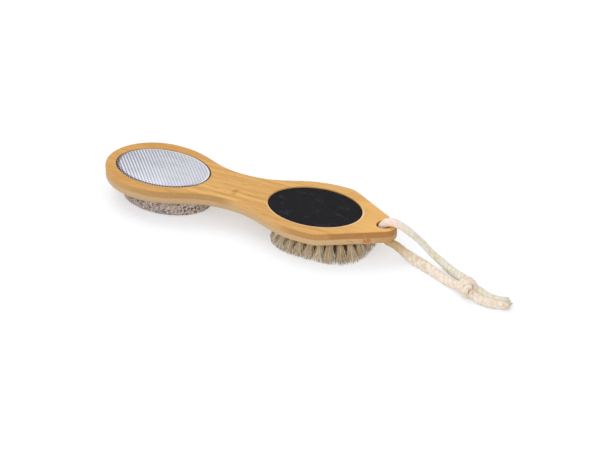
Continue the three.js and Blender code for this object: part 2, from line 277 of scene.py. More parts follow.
@dataclass(frozen=True)
class Finish(ABC):
    """The look of one material."""

    name: str
    slot: Slot

    @abstractmethod
    def paint(self, bench: ShaderBench) -> dict[str, SocketValue]:
        """Builds the pattern and returns what goes into the surface shader's sockets."""

    @cache
    def material(self) -> bpy.types.Material:
        """Makes the material, once for all the pieces that wear it.

        Returns:
            The material.
        """
        made = bpy.data.materials.new(self.name)
        made.use_nodes = True
        bench = ShaderBench(made.node_tree)
        surface = bench.node("ShaderNodeBsdfPrincipled", sockets=self.paint(bench))
        bench.node("ShaderNodeOutputMaterial", sockets={"Surface": surface})
        return made


@dataclass(frozen=True)
class Bamboo(Finish):
    """Pressed bamboo strips with fibres along the handle, sanded and thinly lacquered."""

    light: Colour
    dark: Colour
    rear_edge: Colour
    waist_edge: Colour
    front_edge: Colour
    tip_edge: Colour
    # The oval whose near rim gets a painted highlight.
    highlit_mouth: "Oval | None" = None

    fleck: Colour = display(164, 110, 50)
    bright: Colour = display(240, 200, 136)
    sunny: Colour = display(252, 199, 116)
    burn: Colour = display(150, 92, 36)
    scar: Colour = display(184, 112, 40)
    # The painted highlight on that near rim.
    wear_and_highlight: Colour = display(250, 224, 186)
    last_edge: Colour = display(196, 150, 96)
    pale_from: float = -9 * MM
    pale_to: float = 79 * MM
    pale_blend: float = 8 * MM
    front_from: float = 28 * MM
    front_to: float = 56 * MM
    highlight_width: float = 1.2 * MM
    seam_slant: float = -0.4
    glue_line: float = 19.6 * MM
    fibre_grain: Sequence[float] = (30 * MM, 0.8 * MM, 0.8 * MM)
    strip_grain: Sequence[float] = (170 * MM, 6 * MM, 8 * MM)
    dash_grain: Sequence[float] = (9 * MM, 0.9 * MM, 0.9 * MM)
    dusky_rear: Span = (-40 * MM, -112 * MM)
    sunny_front: Span = (66 * MM, 104 * MM)
    pale_rear: Span = (-66 * MM, -100 * MM)
    last_step: Span = (103 * MM, 107 * MM)
    seam_fade: Span = (-86 * MM, -56 * MM)
    seam_edge: Span = (0.3 * MM, 0.05 * MM)
    step_blend: float = 0.7 * MM
    glue_blend: float = 0.2 * MM
    grain_depth: float = 0.03 * MM
    face_node: Span = (-9 * MM, -7 * MM)
    face_node_size: Span = (3 * MM, 6 * MM)
    edge_node: Span = (101.5 * MM, 17.4 * MM)
    edge_node_size: Span = (4.5 * MM, 3.2 * MM)
    dot_size: Span = (0.6 * MM, 0.5 * MM)
    edge_dots: tuple[Span, ...] = (
        (89.4 * MM, 17.9 * MM), (90.4 * MM, 16.9 * MM), (91.8 * MM, 17.6 * MM), (92.6 * MM, 16.6 * MM),
        (97 * MM, 18.4 * MM),
    )

    def paint(self, bench: ShaderBench) -> dict[str, SocketValue]:
        """Fibres, short flecks and wide strips, with bands of heartwood and node marks on the edges.

        Args:
            bench: The tree on which the pattern is put together.

        Returns:
            What goes into the surface shader's sockets.
        """
        place = bench.place()
        along, across, upward = (bench.axis(place, name) for name in "XYZ")
        fibres = bench.cloud(bench.stretched(place, self.fibre_grain), 4.0, 0.65)
        strips = bench.cloud(bench.stretched(place, self.strip_grain, 3.0), 1.0)
        dashes = bench.cloud(bench.stretched(place, self.dash_grain, 11.0), 2.0)
        sideways = bench.attribute("sideways").ramp(0.3, 0.7)
        tone = fibres.ramp(0.3, 0.7) * 0.55 + strips.ramp(0.35, 0.65) * 0.45
        face = bench.mix(tone, self.dark, self.light)
        face = bench.mix(dashes.ramp(0.58, 0.72) * 0.5, face, self.fleck)
        face = bench.mix(dashes.ramp(0.38, 0.28) * 0.45, face, self.bright)
        near_node = self.spot(along, across, self.face_node, self.face_node_size)
        face = bench.mix(near_node * dashes.ramp(0.35, 0.6) * 0.7, face, self.fleck)
        face = bench.mix(along.ramp(*self.dusky_rear) * 0.4, face, self.dark)
        face = bench.mix(along.ramp(*self.sunny_front) * 0.5, face, self.sunny)
        # A painted highlight: a pale line along the near rim of the abrasive pocket, where the rim catches
        # the light.
        if self.highlit_mouth:
            out_x, out_y, share = bench.outward(place, self.highlit_mouth)
            width = self.highlight_width / self.highlit_mouth.half_width
            near = (out_x * 0.5 - out_y * 0.85).ramp(-0.3, 0.3)
            face = bench.mix(share.ramp(1 + width, 1 + width * 0.5) * near * 0.65, face, self.wear_and_highlight)
        slant = along - (upward - self.glue_line) * self.seam_slant
        pale = along.ramp(self.pale_from - self.pale_blend, self.pale_from + self.pale_blend)
        edge = bench.mix(pale, self.rear_edge, self.waist_edge)
        edge = bench.mix(along.ramp(self.front_from, self.front_to), edge, self.front_edge)
        golden = slant.ramp(self.pale_to - self.step_blend, self.pale_to + self.step_blend)
        edge = bench.mix(golden, edge, self.tip_edge)
        below = upward.ramp(self.glue_line + self.glue_blend, self.glue_line - self.glue_blend)
        edge = bench.mix(below * slant.ramp(*self.last_step) * 0.8, edge, self.last_edge)
        edge = bench.mix(along.ramp(*self.pale_rear) * 0.35, edge, self.waist_edge)
        edge = bench.mix(fibres.ramp(0.5, 0.8) * 0.3, edge, self.fleck)
        edge = bench.mix(fibres.ramp(0.5, 0.25) * 0.25, edge, self.bright)
        for dot in self.edge_dots:
            edge = bench.mix(self.spot(along, upward, dot, self.dot_size) * 0.8, edge, self.burn)
        scarred = self.spot(along, upward, self.edge_node, self.edge_node_size) * dashes.ramp(0.3, 0.55)
        edge = bench.mix(scarred * 0.9, edge, self.scar)
        seam = abs(upward - self.glue_line).ramp(*self.seam_edge)
        edge = bench.mix(seam * along.ramp(*self.seam_fade) * 0.35, edge, self.burn)
        return {
            "Base Color": bench.mix(sideways, face, edge),
            "Roughness": 0.45 + fibres * 0.15,
            "Specular IOR Level": 0.3,
            "Coat Weight": 0.06,
            "Coat Roughness": 0.35,
            "Normal": bench.relief(fibres + dashes * 0.5, self.grain_depth),
        }

    @staticmethod
    def spot(along: Wire, upward: Wire, centre: Span, size: Span) -> Wire:
        """A mark's strength: 1 at its centre, falling to 0 as far off as its size along and across."""
        aside = abs(along - centre[0]).ramp(size[0], size[0] / 4)
        return aside * abs(upward - centre[1]).ramp(size[1], size[1] / 4)


@dataclass(frozen=True)
class RaspSteel(Finish):
    """Pressed stainless steel, bright on its teeth, with painted shade between them."""

    tooth_pitch: float
    row_pitch: float
    oval: "Oval"

    bright: Colour = display(206, 207, 215)
    # Painted shade between the teeth, also the colour of the faint haze.
    dull_and_shade: Colour = display(122, 124, 136)
    shade: Colour = display(50, 44, 60)
    rim_light: Colour = display(232, 232, 238)
    brush_grain: Sequence[float] = (6 * MM, 0.12 * MM, 2 * MM)
    haze_grain: Sequence[float] = (14 * MM, 9 * MM, 9 * MM)
    brush_depth: float = 0.01 * MM
    groove: Span = (0.915, 0.96)
    rim_glint: Span = (0.93, 0.96)
    rim_shadow_line: Span = (0.968, 0.98)

    def paint(self, bench: ShaderBench) -> dict[str, SocketValue]:
        """Painted shade in the valleys between slanting rows of teeth, stronger at the rear, and painted
        shadow by the rim.

        Args:
            bench: The tree on which the pattern is put together.

        Returns:
            What goes into the surface shader's sockets.
        """
        place = bench.place()
        along = bench.axis(place, "X") - self.oval.centre_x
        across = bench.axis(place, "Y")
        turns = along * (2 * math.pi / self.tooth_pitch)
        slant = across * (math.pi / self.row_pitch)
        falling, rising = (turns + slant).cosine(), (turns - slant).cosine()
        # Painted shade between the teeth, stronger towards the rear of the plate.
        rear = along.ramp(self.oval.half_length * 0.5, -self.oval.half_length)
        valley = (falling * (0.35 + rear * 0.5) + rising * 0.3).ramp(0.35, -0.75)
        brushed = bench.cloud(bench.stretched(place, self.brush_grain), 3.0)
        haze = bench.cloud(bench.stretched(place, self.haze_grain, 5.0), 2.0)
        colour = bench.mix(valley * (0.55 + rear * 0.4), self.bright, self.dull_and_shade)
        colour = bench.mix(haze.ramp(0.4, 0.8) * 0.2, colour, self.dull_and_shade)
        out_x, out_y, share = bench.outward(place, self.oval)
        # Painted shadow in the groove by the rim on its near, shaded side, dotted by the teeth.
        towards_shade = (out_x * -0.3 + out_y * -0.95).ramp(-0.15, 0.5)
        dotted = (turns * 1.5).cosine().ramp(-0.9, 0.3) * 0.55 + 0.45
        rim = share.ramp(*self.groove)
        colour = bench.mix(rim * towards_shade * dotted, colour, self.shade)
        # A painted glint on the rim's lit side.
        towards_light = (out_x * 0.55 + out_y * 0.84).ramp(-0.1, 0.5)
        colour = bench.mix(share.ramp(*self.rim_glint) * towards_light * 0.8, colour, self.rim_light)
        # A thin painted shadow line at the rim's front end.
        colour = bench.mix(share.ramp(*self.rim_shadow_line) * out_x.ramp(0.3, 0.8) * 0.9, colour, self.shade)
        return {
            "Base Color": colour,
            "Metallic": 1.0,
            "Roughness": 0.26 + brushed * 0.2,
            "Normal": bench.relief(brushed, self.brush_depth),
        }


@dataclass(frozen=True)
class EmeryGrit(Finish):
    """Black abrasive paper: fine grit with a soft sheen and faint lighter patches, partly rubbed and partly
    painted sheen.
    """

    grit: Colour = display(24, 24, 27)
    sparkle: Colour = display(46, 45, 49)
    # Lighter patches, partly rubbed and partly painted sheen.
    rubbed_and_sheen: Colour = display(60, 58, 62)
    grit_grain: Sequence[float] = (0.22 * MM,) * 3
    clump_grain: Sequence[float] = (1.1 * MM,) * 3
    patch_grain: Sequence[float] = (11 * MM, 6 * MM, 8 * MM)
    grit_depth: float = 0.08 * MM

    def paint(self, bench: ShaderBench) -> dict[str, SocketValue]:
        """Grains of grit, a few painted glints, and soft lighter patches, partly rubbed and partly painted
        sheen.

        Args:
            bench: The tree on which the pattern is put together.

        Returns:
            What goes into the surface shader's sockets.
        """
        place = bench.place()
        grains = bench.cells(bench.stretched(place, self.grit_grain))
        clumps = bench.cloud(bench.stretched(place, self.clump_grain, 7.0), 3.0)
        patches = bench.cloud(bench.stretched(place, self.patch_grain, 2.0), 3.0, 0.6)
        # A few painted glints, then lighter patches that are partly rubbed and partly painted sheen.
        colour = bench.mix(clumps.ramp(0.48, 0.8) * 0.7, self.grit, self.sparkle)
        colour = bench.mix(patches.ramp(0.55, 0.72) * 0.45, colour, self.rubbed_and_sheen)
        return {
            "Base Color": colour,
            "Roughness": 0.7 + grains * 0.2,
            "Specular IOR Level": 0.1,
            "Normal": bench.relief(grains, self.grit_depth),
        }


@dataclass(frozen=True)
class Pumice(Finish):
    """Pinkish grey-brown stone froth with painted shade in its pores, painted light on its front end and
    fine speckles.
    """

    stone: Colour = display(186, 171, 166)
    warm: Colour = display(184, 161, 145)
    # Painted shade in the pores.
    pore: Colour = display(70, 56, 48)
    speckle: Colour = display(226, 216, 208)
    # Painted light on the stone's front end, towards the waist.
    pale: Colour = display(236, 210, 190)
    lit_front: Span = (-56 * MM, -38 * MM)
    mottle_grain: Sequence[float] = (7 * MM,) * 3
    fine_grain: Sequence[float] = (1.2 * MM,) * 3
    pit_grain: Sequence[float] = (1.8 * MM,) * 3
    grain_depth: float = 0.25 * MM

    def paint(self, bench: ShaderBench) -> dict[str, SocketValue]:
        """Mottled stone, with painted shade in its pores and painted light on its front end.

        Args:
            bench: The tree on which the pattern is put together.

        Returns:
            What goes into the surface shader's sockets.
        """
        place = bench.place()
        # Painted light: the stone's front end, towards the waist, is made paler.
        front_light = bench.axis(place, "X").ramp(*self.lit_front)
        mottle = bench.cloud(bench.stretched(place, self.mottle_grain), 3.0)
        grains = bench.cloud(bench.stretched(place, self.fine_grain, 4.0), 2.0, 0.7)
        colour = bench.mix(mottle.ramp(0.35, 0.65), self.stone, self.warm)
        colour = bench.mix(front_light * 0.5, colour, self.pale)
        colour = bench.mix(grains.ramp(0.52, 0.64) * 0.8, colour, self.speckle)
        # Painted shade in the pores: dark grains, dark pits and the depth of the carved pores.
        colour = bench.mix(grains.ramp(0.46, 0.34) * 0.8, colour, self.pore)
        pits = bench.cloud(bench.stretched(place, self.pit_grain, 13.0), 0.0)
        colour = bench.mix(pits.ramp(0.68, 0.74) * 0.85, colour, self.pore)
        colour = bench.mix(bench.attribute("pore").ramp(0.0, 0.6) * 0.75, colour, self.pore)
        return {
            "Base Color": colour,
            "Roughness": 0.9,
            "Specular IOR Level": 0.25,
            "Normal": bench.relief(grains, self.grain_depth),
        }


@dataclass(frozen=True)
class Bristle(Finish):
    """Natural beige hair with painted shade by the board and painted light at the rear; no two quite alike.
    """

    shaft: Colour = display(255, 240, 206)
    sunlit: Colour = display(255, 246, 226)
    sandy: Colour = display(218, 188, 146)
    dark_hair: Colour = display(140, 110, 78)
    # Painted shade near the board and between the tufts.
    root: Colour = display(128, 94, 58)
    sunlit_rear: Span = (44 * MM, 22 * MM)

    def paint(self, bench: ShaderBench) -> dict[str, SocketValue]:
        """Each hair's own tone, painted shade at its root and in inner rings, painted light at the rear.

        Args:
            bench: The tree on which the pattern is put together.

        Returns:
            What goes into the surface shader's sockets.
        """
        shade, reach = bench.attribute("shade"), bench.attribute("reach")
        colour = bench.mix(shade, self.shaft, self.sandy)
        colour = bench.mix(shade.ramp(0.8, 1.0) * 0.8, colour, self.dark_hair)
        # Painted shade towards the roots, deeper in the inner rings.
        colour = bench.mix(reach.ramp(0.4, 0.0) * 0.65, colour, self.root)
        colour = bench.mix(bench.attribute("inner") * reach.ramp(1.0, 0.6) * 0.6, colour, self.root)
        # Painted light on the hair at the rear end.
        rear = bench.axis(bench.place(), "X").ramp(*self.sunlit_rear)
        colour = bench.mix(rear * 0.5, colour, self.sunlit)
        return {"Base Color": colour, "Roughness": 0.55 + shade * 0.2, "Specular IOR Level": 0.35}


@dataclass(frozen=True)
class CottonRope(Finish):
    """Soft-laid undyed cotton: fine fibres along each strand, with warm painted shade between the strands.
    """

    cotton: Colour
    blush: Colour
    shadow: Colour
    fleck: Colour
    # By the hole: painted shade on the lower strand, a paler pink tint on the upper one.
    shade_and_tint_by_hole: Colour
    fibre_grain: Sequence[float] = (0.22 * MM, 0.22 * MM, 3.5 * MM)
    lump_grain: Sequence[float] = (3.4 * MM,) * 3
    blotch_grain: Sequence[float] = (2.4 * MM,) * 3
    nap_depth: float = 0.2 * MM

    def paint(self, bench: ShaderBench) -> dict[str, SocketValue]:
        """Fibres that follow the lay, painted shade in the grooves, scattered flecks and a colour by the
        wood.

        Args:
            bench: The tree on which the pattern is put together.

        Returns:
            What goes into the surface shader's sockets.
        """
        laid = bench.attribute("laid", "Vector")
        fibres = bench.cloud(bench.stretched(laid, self.fibre_grain), 3.0, 0.6)
        lumps = bench.cloud(bench.stretched(bench.place(), self.lump_grain, 6.0), 2.0)
        groove = bench.attribute("groove")
        blotches = bench.cloud(bench.stretched(bench.place(), self.blotch_grain, 9.0), 2.0)
        colour = bench.mix(blotches.ramp(0.4, 0.6), self.cotton, self.blush)
        colour = bench.mix(lumps.ramp(0.54, 0.66) * 0.75, colour, self.fleck)
        # By the hole: painted shade on the lower strand, a paler pink tint on the upper one.
        colour = bench.mix(bench.attribute("near_hole").ramp(0.0, 0.5), colour, self.shade_and_tint_by_hole)
        # Painted shade in the grooves between the strands and between the fibres.
        colour = bench.mix(groove.ramp(0.2, 1.0) * 0.16, colour, self.shadow)
        colour = bench.mix(fibres.ramp(0.5, 0.2) * 0.25, colour, self.shadow)
        return {
            "Base Color": colour,
            "Roughness": 0.9,
            "Specular IOR Level": 0.2,
            "Sheen Weight": 0.15,
            "Normal": bench.relief(fibres + blotches, self.nap_depth),
        }


@dataclass(frozen=True)
class HiddenStuff(Finish):
    """Glue, foam or wire inside the paddle: one colour, mottled at the grain of the stuff."""

    base: Colour
    mottle: Colour
    grain: float
    rough: float
    metal: float = 0.0

    def paint(self, bench: ShaderBench) -> dict[str, SocketValue]:
        """A soft mottle with a little relief.

        Args:
            bench: The tree on which the pattern is put together.

        Returns:
            What goes into the surface shader's sockets.
        """
        grains = bench.cloud(bench.stretched(bench.place(), (self.grain,) * 3), 3.0)
        return {
            "Base Color": bench.mix(grains.ramp(0.3, 0.7), self.base, self.mottle),
            "Roughness": self.rough,
            "Metallic": self.metal,
            "Normal": bench.relief(grains, self.grain / 8),
        }


BOTTOM_BAMBOO = Bamboo(
    "pale_bamboo", Slot.BAMBOO_PALE,
    light=display(226, 188, 132), dark=display(206, 164, 108),
    rear_edge=display(203, 168, 125), waist_edge=display(210, 175, 127),
    front_edge=display(210, 175, 126), tip_edge=display(211, 173, 125),
)
UPPER_COTTON = CottonRope(
    "upper_cotton", Slot.COTTON_ROPE,
    cotton=display(243, 237, 223), blush=display(238, 230, 215), shadow=display(176, 160, 132),
    fleck=display(224, 218, 168), shade_and_tint_by_hole=display(254, 234, 220),
)
# Its colour by the hole is painted shade, on the strand under the tip.
LOWER_COTTON = CottonRope(
    "lower_cotton", Slot.COTTON_ROPE,
    cotton=display(254, 242, 224), blush=display(250, 228, 212), shadow=display(186, 158, 126),
    fleck=display(232, 214, 166), shade_and_tint_by_hole=display(210, 182, 136),
)
SET_GLUE = HiddenStuff(
    "set_glue", Slot.ADHESIVE, display(226, 216, 190), display(208, 196, 166), 1.5 * MM, 0.5,
)
CLOSED_FOAM = HiddenStuff(
    "closed_foam", Slot.FOAM, display(58, 58, 61), display(44, 44, 48), 0.4 * MM, 0.9,
)
DRAWN_WIRE = HiddenStuff(
    "drawn_wire", Slot.TUFT_WIRE, display(190, 190, 192), display(168, 168, 172), 0.3 * MM, 0.35, 1.0,
)


@dataclass(frozen=True)
class Oval:
    """An oval that lies flat about a point on the handle's middle line."""

    centre_x: float
    half_length: float
    half_width: float

    @classmethod
    def round_node(cls, name: str, margin: float = 0.0) -> "Oval":
        """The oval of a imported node, grown by a margin.

        Args:
            name: The node's name.
            margin: How much wider the oval is all round.

        Returns:
            The oval.
        """
        low, high = node_box(name)
        half = (high - low) / 2
        return cls((low.x + high.x) / 2, half.x + margin, half.y + margin)

    def level(self, grow: float, height: float) -> Matrix:
        """Places a unit circle as this oval, grown by a margin, at a height."""
        size = Matrix.Diagonal((self.half_length + grow, self.half_width + grow, 1.0, 1.0))
        return Matrix.Translation((self.centre_x, 0.0, height)) @ size

    def within(self, share: float, height: float) -> Matrix:
        """Places a unit circle as a share of this oval, at a height."""
        size = Matrix.Diagonal((self.half_length * share, self.half_width * share, 1.0, 1.0))
        return Matrix.Translation((self.centre_x, 0.0, height)) @ size


class Blank:
    """A mesh under work, shaped with bmesh operators and handed over as a named piece."""

    def __init__(self) -> None:
        """Starts empty."""
        self.bm = bmesh.new()

    def ring(self, level: Matrix, steps: int) -> list[BMEdge]:
        """Lays down a ring.

        Args:
            level: The placing of the unit circle.
            steps: The number of its edges.

        Returns:
            The ring's edges.
        """
        made = bmesh.ops.create_circle(self.bm, segments=steps, radius=1.0)
        bmesh.ops.transform(self.bm, matrix=level, verts=made["verts"])
        return list({edge for vert in made["verts"] for edge in vert.link_edges})

    def climb(self, edges: list[BMEdge], levels: Sequence[Matrix]) -> list[BMEdge]:
        """Extrudes a ring through a row of levels.

        Args:
            edges: The ring, which lies at the first level.
            levels: Placings of the unit circle.

        Returns:
            The ring at the last level.
        """
        for before, after in pairwise(levels):
            made = bmesh.ops.extrude_edge_only(self.bm, edges=edges)["geom"]
            verts = [part for part in made if isinstance(part, BMVert)]
            edges = [part for part in made if isinstance(part, BMEdge) and part.is_boundary]
            bmesh.ops.transform(self.bm, matrix=after @ before.inverted(), verts=verts)
        return edges

    def cap(self, edges: list[BMEdge]) -> list[BMFace]:
        """Closes a ring with one face."""
        return bmesh.ops.edgeloop_fill(self.bm, edges=edges)["faces"]

    def turned(self, levels: Sequence[Matrix], steps: int, closed: tuple[bool, bool]) -> None:
        """Raises a ring through levels, with or without a cap at each end.

        Args:
            levels: Placings of the unit circle.
            steps: The number of edges in the ring.
            closed: Whether the first and the last level are capped.
        """
        first = self.ring(levels[0], steps)
        last = self.climb(first, levels)
        for edges, wanted in zip((first, last), closed, strict=True):
            if wanted:
                self.cap(edges)

    def fill_level(self, height: float) -> None:
        """Fills the plane at a height between all open rings that lie in it.

        Args:
            height: The plane's height.
        """
        edges = [
            edge for edge in self.bm.edges
            if edge.is_boundary and all(abs(vert.co.z - height) < SAME_LEVEL for vert in edge.verts)
        ]
        bmesh.ops.triangle_fill(self.bm, use_beauty=True, edges=edges, normal=(0, 0, 1))

    def add(self, mesh: bpy.types.Mesh, place: Matrix) -> None:
        """Puts a placed copy of a finished mesh in.

        Args:
            mesh: The mesh.
            place: Where it goes.
        """
        known = len(self.bm.verts)
        self.bm.from_mesh(mesh)
        self.bm.verts.ensure_lookup_table()
        bmesh.ops.transform(self.bm, matrix=place, verts=self.bm.verts[known:])

    def mark(self, name: str, values: Iterable[float]) -> None:
        """Stores one number per vertex for the finish to read.

        Args:
            name: The attribute's name.
            values: The numbers, in the order of the vertices.
        """
        layer = self.bm.verts.layers.float.new(name)
        for vert, value in zip(self.bm.verts, values, strict=True):
            vert[layer] = value

    def crease(self, angle: float) -> None:
        """Shades faces smoothly except over edges sharper than an angle.

        Args:
            angle: The angle in radians.
        """
        for face in self.bm.faces:
            face.smooth = True
        for edge in self.bm.edges:
            edge.smooth = edge.calc_face_angle(0.0) < angle

    def mesh(self, name: str, outward: bool = True) -> bpy.types.Mesh:
        """Hands over a bare mesh.

        Args:
            name: The mesh's name.
            outward: Whether the faces are turned outwards first.

        Returns:
            The mesh.
        """
        if outward:
            bmesh.ops.recalc_face_normals(self.bm, faces=self.bm.faces)
        made = bpy.data.meshes.new(name)
        self.bm.to_mesh(made)
        self.bm.free()
        return made

    def deliver(
        self,
        name: str,
        body: Body,
        finish: Finish,
        replaced: Sequence[str] = (),
        outward: bool = True,
    ) -> bpy.types.Object:
        """Hands over a named piece that rides on its body.

        Args:
            name: The piece's name.
            body: The body that it rides on.
            finish: Its material.
            replaced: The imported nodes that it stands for.
            outward: Whether the faces are turned outwards first.

        Returns:
            The piece.
        """
        piece = bpy.data.objects.new(name, self.mesh(name, outward))
        bpy.context.scene.collection.objects.link(piece)
        piece.data.materials.append(finish.material())
        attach(piece, body.value)
        if replaced:
            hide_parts(*replaced)
        return piece


def even_shading(piece: bpy.types.Object) -> bpy.types.Object:
    """Keeps large flat faces flat beside their rounded rims.

    Args:
        piece: The piece.

    Returns:
        The same piece.
    """
    modifier = piece.modifiers.new("even_shading", "WEIGHTED_NORMAL")
    modifier.keep_sharp = True
    modifier.weight = 100
    return piece


def dress_node(name: str, finish: Finish) -> bpy.types.Object:
    """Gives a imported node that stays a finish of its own.

    Args:
        name: The node's name.
        finish: Its material.

    Returns:
        The node's object.
    """
    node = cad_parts[name]
    node.data.materials.clear()
    node.data.materials.append(finish.material())
    return node


def polar(angle: float, away: float) -> Vector:
    """The point at an angle and a distance round the origin, at height 0."""
    return Vector((away * math.cos(angle), away * math.sin(angle), 0.0))


def quarter_round(radius: float, steps: int) -> list[tuple[float, float]]:
    """Points of a quarter round from wall to face, as distance from the wall and drop from the face."""
    angles = [math.pi / 2 * step / steps for step in range(steps + 1)]
    return [(radius * (1 - math.cos(angle)), radius * (1 - math.sin(angle))) for angle in angles]


@dataclass
class Paddle:
    """The two bamboo boards with their pockets and the rope hole."""

    rear_rim_wood: float = 8.6 * MM
    rear_crest_lead: float = 4.75 * MM
    rear_neck: float = 65 * MM
    waist_half_width: float = 18.2 * MM
    front_neck: float = 70 * MM
    front_rim_wood: float = 8.9 * MM
    shoulder_length: float = 18 * MM
    shoulder_drop: float = 4.2 * MM
    rope_hole_radius: float = 5.4 * MM
    rope_hole_mouth: float = 0.9 * MM
    tip_wood: float = 4.2 * MM
    top_rim_radius: float = 1 * MM
    bottom_rim_radius: float = 3 * MM
    pocket_gap: float = 0.3 * MM
    pocket_mouth: float = 0.5 * MM
    neck_handle_share: float = 0.46
    round_share: float = 0.5523
    shoulder_handle_share: float = 0.5
    outline_steps: int = 36
    oval_steps: int = 160
    edge_steps: int = 6
    mouth_steps: int = 3
    same_place: float = 0.001 * MM
    crease_angle: float = math.radians(32)

    def knots(self) -> list[tuple[Vector, Vector, Vector]]:
        """The outline's knots from the rear end along one side to the tip and back.

        Returns:
            Each knot's place with its handle before and its handle after.
        """
        low, high = node_box("bamboo_top_ply")
        rasp, emery = Oval.round_node("steel_rasp_plate"), Oval.round_node("emery_sheet")
        rear = Vector((low.x, 0.0))
        rear_crest = Vector((rasp.centre_x - self.rear_crest_lead, rasp.half_width + self.rear_rim_wood))
        waist = Vector((rear_crest.x + self.rear_neck, self.waist_half_width))
        front_crest = Vector((waist.x + self.front_neck, emery.half_width + self.front_rim_wood))
        shoulder = front_crest + Vector((self.shoulder_length, -self.shoulder_drop))
        tip_radius = self.rope_hole_radius + self.tip_wood
        hole = Vector((high.x - tip_radius, 0.0))
        reach = hole - shoulder
        heading = math.atan2(reach.y, reach.x) + math.asin(tip_radius / reach.length)
        flank = Vector((math.cos(heading), math.sin(heading)))
        touch_angle = heading + math.pi / 2
        touch = hole + tip_radius * Vector((math.cos(touch_angle), math.sin(touch_angle)))
        tip_pull = 4 / 3 * math.tan(touch_angle / 4) * tip_radius
        rear_round = Vector((self.round_share * (rear_crest.x - rear.x), 0.0))
        rear_rise = Vector((0.0, self.round_share * rear_crest.y))
        rear_pull = Vector((self.neck_handle_share * self.rear_neck, 0.0))
        front_pull = Vector((self.neck_handle_share * self.front_neck, 0.0))
        shoulder_pull = self.shoulder_handle_share * self.shoulder_length
        straight = (touch - shoulder) / 3
        level = Vector((shoulder_pull, 0.0))
        side = [
            (rear_crest, rear_crest - rear_round, rear_crest + rear_pull),
            (waist, waist - rear_pull, waist + front_pull),
            (front_crest, front_crest - front_pull, front_crest + level),
            (shoulder, shoulder - shoulder_pull * flank, shoulder + straight),
            (touch, touch - straight, touch + tip_pull * flank),
        ]
        tip = Vector((high.x, 0.0))
        tip_rise = Vector((0.0, tip_pull))
        other_side = [
            tuple(Vector((spot.x, -spot.y)) for spot in (place, after, before))
            for place, before, after in reversed(side)
        ]
        start = (rear, rear - rear_rise, rear + rear_rise)
        return [start, *side, (tip, tip + tip_rise, tip - tip_rise), *other_side]

    def outline(self) -> bpy.types.Mesh:
        """The boards' outline as a flat closed line.

        Returns:
            The line as a mesh of edges.
        """
        curve = bpy.data.curves.new("paddle_outline", "CURVE")
        curve.dimensions = "2D"
        curve.fill_mode = "NONE"
        curve.resolution_u = self.outline_steps
        knots = self.knots()
        line = curve.splines.new("BEZIER")
        line.bezier_points.add(len(knots) - 1)
        line.use_cyclic_u = True
        for point, spots in zip(line.bezier_points, knots, strict=True):
            point.co, point.handle_left, point.handle_right = (spot.to_3d() for spot in spots)
        return bpy.data.meshes.new_from_object(bpy.data.objects.new("paddle_outline", curve))

    def board(self, outer: float, inner: float, rim_radius: float) -> Blank:
        """A board with a rounded rim on its outer face and both faces still open.

        Args:
            outer: The height of the face that shows.
            inner: The height of the glued face.
            rim_radius: The rounding of the outer rim.

        Returns:
            The board under work.
        """
        blank = Blank()
        blank.bm.from_mesh(self.outline())
        bmesh.ops.remove_doubles(blank.bm, verts=blank.bm.verts, dist=self.same_place)
        bmesh.ops.translate(blank.bm, vec=(0, 0, inner), verts=blank.bm.verts)
        inner_face = blank.cap(list(blank.bm.edges))
        raised = bmesh.ops.extrude_face_region(blank.bm, geom=inner_face, use_keep_orig=True)["geom"]
        verts = [part for part in raised if isinstance(part, BMVert)]
        bmesh.ops.translate(blank.bm, vec=(0, 0, outer - inner), verts=verts)
        rim = [part for part in raised if isinstance(part, BMEdge)]
        bmesh.ops.bevel(
            blank.bm, geom=rim, offset=rim_radius, offset_type="OFFSET", segments=self.edge_steps,
            profile=0.5, affect="EDGES", material=-1, clamp_overlap=False,
        )
        flat = [face for face in blank.bm.faces if len(face.verts) > self.oval_steps]
        bmesh.ops.delete(blank.bm, geom=flat, context="FACES_ONLY")
        return blank

    def sink(self, blank: Blank, oval: Oval, face: float, floor: float) -> None:
        """Sinks an oval pocket with a softened mouth.

        Args:
            blank: The board under work.
            oval: The pocket's outline.
            face: The height of the board's face.
            floor: The height of the pocket's floor.
        """
        outward = 1 if face > floor else -1
        mouth = quarter_round(self.pocket_mouth, self.mouth_steps)
        levels = [oval.level(0.0, floor)]
        levels += [oval.level(away, face - outward * drop) for away, drop in mouth]
        blank.turned(levels, self.oval_steps, (True, False))

    def drill(self, blank: Blank, face: float, inner: float) -> None:
        """Drills the rope hole with a softened mouth.

        Args:
            blank: The board under work.
            face: The height of the board's face.
            inner: The height of its glued face.
        """
        outward = 1 if face > inner else -1
        centre_x = node_box("bamboo_top_ply")[1].x - self.tip_wood - self.rope_hole_radius
        hole = Oval(centre_x, self.rope_hole_radius, self.rope_hole_radius)
        mouth = quarter_round(self.rope_hole_mouth, self.edge_steps)
        levels = [hole.level(0.0, inner)]
        levels += [hole.level(away, face - outward * drop) for away, drop in mouth]
        blank.turned(levels, self.oval_steps // 2, (False, False))

    def finish_board(self, blank: Blank, name: str, finish: Finish, levels: Span) -> bpy.types.Object:
        """Closes a board's faces and hands it over.

        Args:
            blank: The board under work.
            name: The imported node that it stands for.
            finish: Its bamboo.
            levels: The heights of its two faces.

        Returns:
            The board.
        """
        for level in levels:
            blank.fill_level(level)
        bmesh.ops.recalc_face_normals(blank.bm, faces=blank.bm.faces)
        blank.crease(self.crease_angle)
        blank.bm.normal_update()
        inner = levels[1]
        blank.mark("sideways", [
            1.0 if abs(vert.co.z - inner) < SAME_LEVEL else 1 - abs(vert.normal.z) for vert in blank.bm.verts
        ])
        return even_shading(blank.deliver(f"{name}_grained", Body.HANDLE, finish, [name]))

